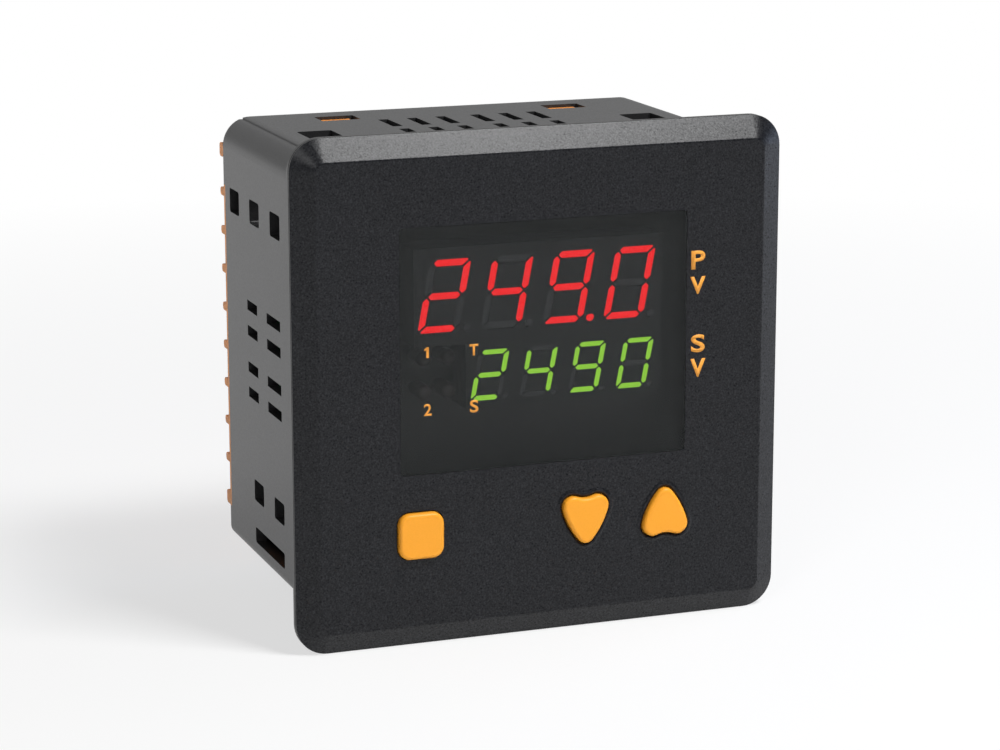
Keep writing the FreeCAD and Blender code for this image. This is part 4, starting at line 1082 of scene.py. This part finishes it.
# ---------------------------------------------------------------------------
# The instrument's own parts
# ---------------------------------------------------------------------------
@dataclass(frozen=True)
class KeyHalo:
    """The raised rims round the heart keys, worked into soft ridges."""

    rim: float = 0.25 * MM
    chamfer: float = 0.225 * MM
    step: float = 0.13 * MM
    half_width: float = 0.6625 * MM
    near: float = 0.012 * MM
    insets: int = 3

    def rise(self, run: float) -> float:
        """Give the ridge's height over the face.

        Args:
            run: distance in from the ridge's foot.

        Returns:
            The height there.
        """
        return self.rim * (1 - math.cos(math.pi * run / self.half_width)) / 2

    def soften(self, fascia: Object) -> None:
        """Work each flat-topped rim into a ridge with a rounded section.

        Args:
            fascia: the front moulding, whose foremost faces are the rims' flat tops.
        """
        top_y = min(v.co.y for v in fascia.data.vertices)
        face_y = top_y + self.rim
        foot_y = face_y - self.rim + self.chamfer
        run = self.chamfer
        with Edit(fascia) as edit:
            edit.pick("VERT", lambda at, normal: abs(at.y - foot_y) < self.near)
            bpy.ops.transform.translate(value=(0, face_y - foot_y, 0))
            edit.pick("VERT", lambda at, normal: abs(at.y - face_y) < self.near)
            bpy.ops.mesh.remove_doubles(threshold=self.near)
            edit.pick("VERT", lambda at, normal: abs(at.y - top_y) < self.near)
            bpy.ops.transform.translate(value=(0, self.rim - self.rise(run), 0))
            low_y = face_y - self.rise(run)
            edit.pick("FACE", lambda at, normal: normal.y < -0.99 and abs(at.y - low_y) < self.near)
            for _ in range(self.insets):
                bpy.ops.mesh.inset(thickness=self.step, depth=0.0, use_even_offset=True)
                lift = self.rise(run + self.step) - self.rise(run)
                bpy.ops.transform.translate(value=(0, -lift, 0))
                run += self.step


@dataclass
class Instrument:
    """Finishes on the CAD parts, by the body that carries them."""

    refined: dict[str, tuple[str, str, Finish]] = field(
        default_factory=lambda: {
            "front_fascia": ("instrument", "fascia_plastic", FASCIA_ABS),
            "housing": ("instrument", "housing_plastic", SLEEVE_ABS),
            "rear_cover": ("instrument", "cover_plastic", COVER_ABS),
            "key_set": ("set_button", "key_plastic", KEY_ORANGE),
            "key_down": ("down_button", "key_plastic", KEY_ORANGE),
            "key_up": ("up_button", "key_plastic", KEY_ORANGE),
            "status_leds": ("instrument", "lamp_epoxy", LAMP_DARK),
        }
    )
    plain: dict[str, Finish] = field(
        default_factory=lambda: {
            "display_window": LENS,
            "pv_display": MODULE_PLASTIC,
            "sv_display": MODULE_PLASTIC,
            "set_plunger": SWITCH_PLASTIC,
            "down_plunger": SWITCH_PLASTIC,
            "up_plunger": SWITCH_PLASTIC,
            "key_switches": SWITCH_PLASTIC,
            "front_header": SWITCH_PLASTIC,
            "rear_header": SWITCH_PLASTIC,
            "display_board": BOARD_BLACK,
            "terminal_board": BOARD_GREEN,
            "base_board": BOARD_BROWN,
            "controller_chip": CHIP_EPOXY,
            "transformer_core": FERRITE,
            "transformer_winding": TAPE_YELLOW,
            "input_capacitor": SLEEVE_DARK,
            "output_capacitor": SLEEVE_DARK,
            "output_relay_1": RELAY_PBT,
            "output_relay_2": RELAY_PBT,
            "terminal_tabs_left": TIN_BRASS,
            "terminal_tabs_right": TIN_BRASS,
            "clamp_washers_left": ZINC_STEEL,
            "clamp_washers_right": ZINC_STEEL,
        }
    )

    def build(self, shop: Workshop) -> None:
        """Finish every part, and check that none was left out."""
        for node, finish in self.plain.items():
            shop.dress_node(node, finish)
        shapes = {"front_fascia": KeyHalo().soften}
        for node, (body, slot, finish) in self.refined.items():
            shop.dress_node(node, finish)
            shop.refine(node, body, slot, finish, shapes.get(node))
        for node in ("pv_segments", "sv_segments"):
            shop.dress_node(node, SEGMENT_DARK)
        for node in ("terminal_screws_left", "terminal_screws_right"):
            shop.dress_node(node, ZINC_STEEL)
        known = {*self.plain, *self.refined, "pv_segments", "sv_segments"}
        known |= {"terminal_screws_left", "terminal_screws_right"}
        for node in sorted(set(shop.frame["nodes"]) - known):
            LOG.warning("node %s has no finish", node)
            shop.dress_node(node, SWITCH_PLASTIC)


# ---------------------------------------------------------------------------
# Studio
# ---------------------------------------------------------------------------
@dataclass
class Softbox:
    """A rectangular lamp that faces a point of the instrument."""

    name: str
    place: tuple[float, float, float]
    size: tuple[float, float]
    power: float
    colour: str = "#FFFFFF"

    def build(self, target: Vector) -> None:
        """Add the lamp."""
        lamp = bpy.data.lights.new(self.name, "AREA")
        lamp.shape = "RECTANGLE"
        lamp.size, lamp.size_y = self.size
        lamp.energy = self.power
        lamp.color = linear(self.colour)[:3]
        obj = bpy.data.objects.new(self.name, lamp)
        bpy.context.scene.collection.objects.link(obj)
        obj.location = self.place
        obj.rotation_mode = "QUATERNION"
        obj.rotation_quaternion = (target - Vector(self.place)).to_track_quat("-Z", "Y")


@dataclass
class Studio:
    """Pale floor, soft lamps, a pale surround and the camera."""

    floor_z: float
    lamps: tuple[Softbox, ...] = (
        Softbox("overhead", (0.30, -0.40, 0.74), (0.32, 0.25), 8.4),
        Softbox("left_fill", (-0.60, -0.76, 0.58), (0.30, 0.30), 1.7),
        Softbox("right_fill", (0.95, 0.30, 0.10), (0.5, 0.25), 5.5, "#CFE0FF"),
    )
    camera_place: tuple[float, float, float] = (-0.1969, -0.5142, 0.1288)
    camera_right: tuple[float, float, float] = (0.93827, -0.34590, -0.00105)
    camera_up: tuple[float, float, float] = (0.07912, 0.21167, 0.97413)
    camera_back: tuple[float, float, float] = (-0.33673, -0.91408, 0.22597)
    camera_lens: float = 109.24
    floor_size: float = 14.0
    fibres: float = 60.0
    # The floor turns to even white between these distances from the instrument.
    floor_fade: tuple[float, float] = (0.10, 0.50)
    floor_lift: tuple[float, float] = (0.65, 1.0)
    # The surround lights evenly; reflections see it dark in front and bright behind.
    diffuse_level: float = 0.09
    front_back: tuple[float, float] = (-0.35, 0.35)
    gloss_levels: tuple[float, float] = (0.10, 0.55)

    def camera(self) -> None:
        """Place the camera."""
        data = bpy.data.cameras.new("camera")
        data.lens = self.camera_lens
        data.sensor_width = 36.0
        data.clip_start, data.clip_end = 0.01, 50.0
        obj = bpy.data.objects.new("camera", data)
        bpy.context.scene.collection.objects.link(obj)
        columns = [*zip(self.camera_right, self.camera_up, self.camera_back, self.camera_place)]
        obj.matrix_world = Matrix([*columns, (0, 0, 0, 1)])
        bpy.context.scene.camera = obj

    def floor(self) -> None:
        """Lay the floor: pale, matt, and lifted a little for the camera so that it ends in white."""
        deselect_all()
        bpy.ops.mesh.primitive_plane_add(size=self.floor_size)
        obj = bpy.context.object
        obj.name = "floor"
        obj.data.transform(Matrix.Translation((0, 0, self.floor_z)))
        material = new_material("paper_floor")
        tree = material.node_tree
        point = object_point(tree)
        rough = around(tree, noise(tree, point, 1 / self.fibres, 3.0), 0.9, 0.05)
        matt = add_node(
            tree,
            "ShaderNodeBsdfPrincipled",
            {"Base Color": linear("#F4F4F4"), "Specular IOR Level": 0.1},
            {"Roughness": rough},
        )
        path = add_node(tree, "ShaderNodeLightPath").outputs
        through = combine(tree, "MAXIMUM", path["Is Glossy Ray"], path["Is Transmission Ray"])
        seen = combine(tree, "MAXIMUM", path["Is Camera Ray"], through)
        spot = add_node(tree, "ShaderNodeVectorMath", {"operation": "LENGTH"}, {0: point})
        level = ramp(tree, spot.outputs["Value"], self.floor_fade, self.floor_lift)
        lift = combine(tree, "MULTIPLY", seen, level)
        glow = add_node(tree, "ShaderNodeEmission", {"Color": linear("#FFFFFF"), "Strength": 1.0})
        both = add_node(
            tree,
            "ShaderNodeMixShader",
            {},
            {0: lift, 1: matt.outputs["BSDF"], 2: glow.outputs["Emission"]},
        )
        add_node(tree, "ShaderNodeOutputMaterial", {}, {"Surface": both.outputs["Shader"]})
        dress(obj, material)
        obj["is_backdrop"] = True

    def surround(self) -> None:
        """Light the scene from all round: plain for diffuse light, brighter behind for reflections."""
        world = bpy.data.worlds.new("surround")
        bpy.context.scene.world = world
        world.use_nodes = True
        tree = world.node_tree
        tree.nodes.clear()
        where = add_node(tree, "ShaderNodeTexCoord")
        axes = add_node(tree, "ShaderNodeSeparateXYZ", {}, {"Vector": where.outputs["Generated"]})
        behind = ramp(tree, axes.outputs["Y"], self.front_back, self.gloss_levels)
        path = add_node(tree, "ShaderNodeLightPath").outputs
        gloss = combine(tree, "MAXIMUM", path["Is Glossy Ray"], path["Is Transmission Ray"])
        plain = add_node(
            tree,
            "ShaderNodeMix",
            {"data_type": "FLOAT", 2: self.diffuse_level},
            {0: gloss, 3: behind},
        )
        level = combine(tree, "MAXIMUM", plain.outputs[0], path["Is Camera Ray"])
        light = add_node(
            tree, "ShaderNodeBackground", {"Color": linear("#FFFFFF")}, {"Strength": level}
        )
        add_node(tree, "ShaderNodeOutputWorld", {}, {"Surface": light.outputs["Background"]})

    def build(self) -> None:
        """Set the whole studio."""
        bpy.context.scene.view_settings.view_transform = "Standard"
        self.camera()
        self.floor()
        self.surround()
        for lamp in self.lamps:
            lamp.build(Vector((0, 0, 0)))


def main() -> None:
    """Build the scene in order."""
    logging.basicConfig(level=logging.INFO, format="%(name)s: %(message)s")
    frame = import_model()
    cad_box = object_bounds()
    Studio(floor_z=cad_box[0].z).build()
    shop = Workshop(frame)
    Instrument().build(shop)
    pv_low, pv_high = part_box("pv_display")
    sv_low, sv_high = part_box("sv_display")
    upper = SegmentDisplay(
        prefix="pv",
        text="249.0",
        mid_x=(pv_low.x + pv_high.x) / 2 - DIGIT_SHIFT,
        mid_z=(pv_low.z + pv_high.z) / 2 + UPPER_LIFT,
        height=13.5 * MM,
        width=8.0 * MM,
        pitch=12.2 * MM,
        stroke=1.22 * MM,
        lit_finish=RED_LIT,
        slot="red_segments",
        dot_gap=0.85 * MM,
    )
    lower = SegmentDisplay(
        prefix="sv",
        text="2490",
        mid_x=(sv_low.x + sv_high.x) / 2 - DIGIT_SHIFT,
        mid_z=(sv_low.z + sv_high.z) / 2,
        height=9.5 * MM,
        width=6.0 * MM,
        pitch=9.65 * MM,
        stroke=0.88 * MM,
        lit_finish=GREEN_LIT,
        slot="green_segments",
    )
    upper.build(shop)
    lower.build(shop)
    FrontPrint().build(shop)
    TerminalScrews().build(shop)


if __name__ == "__main__":
    main()
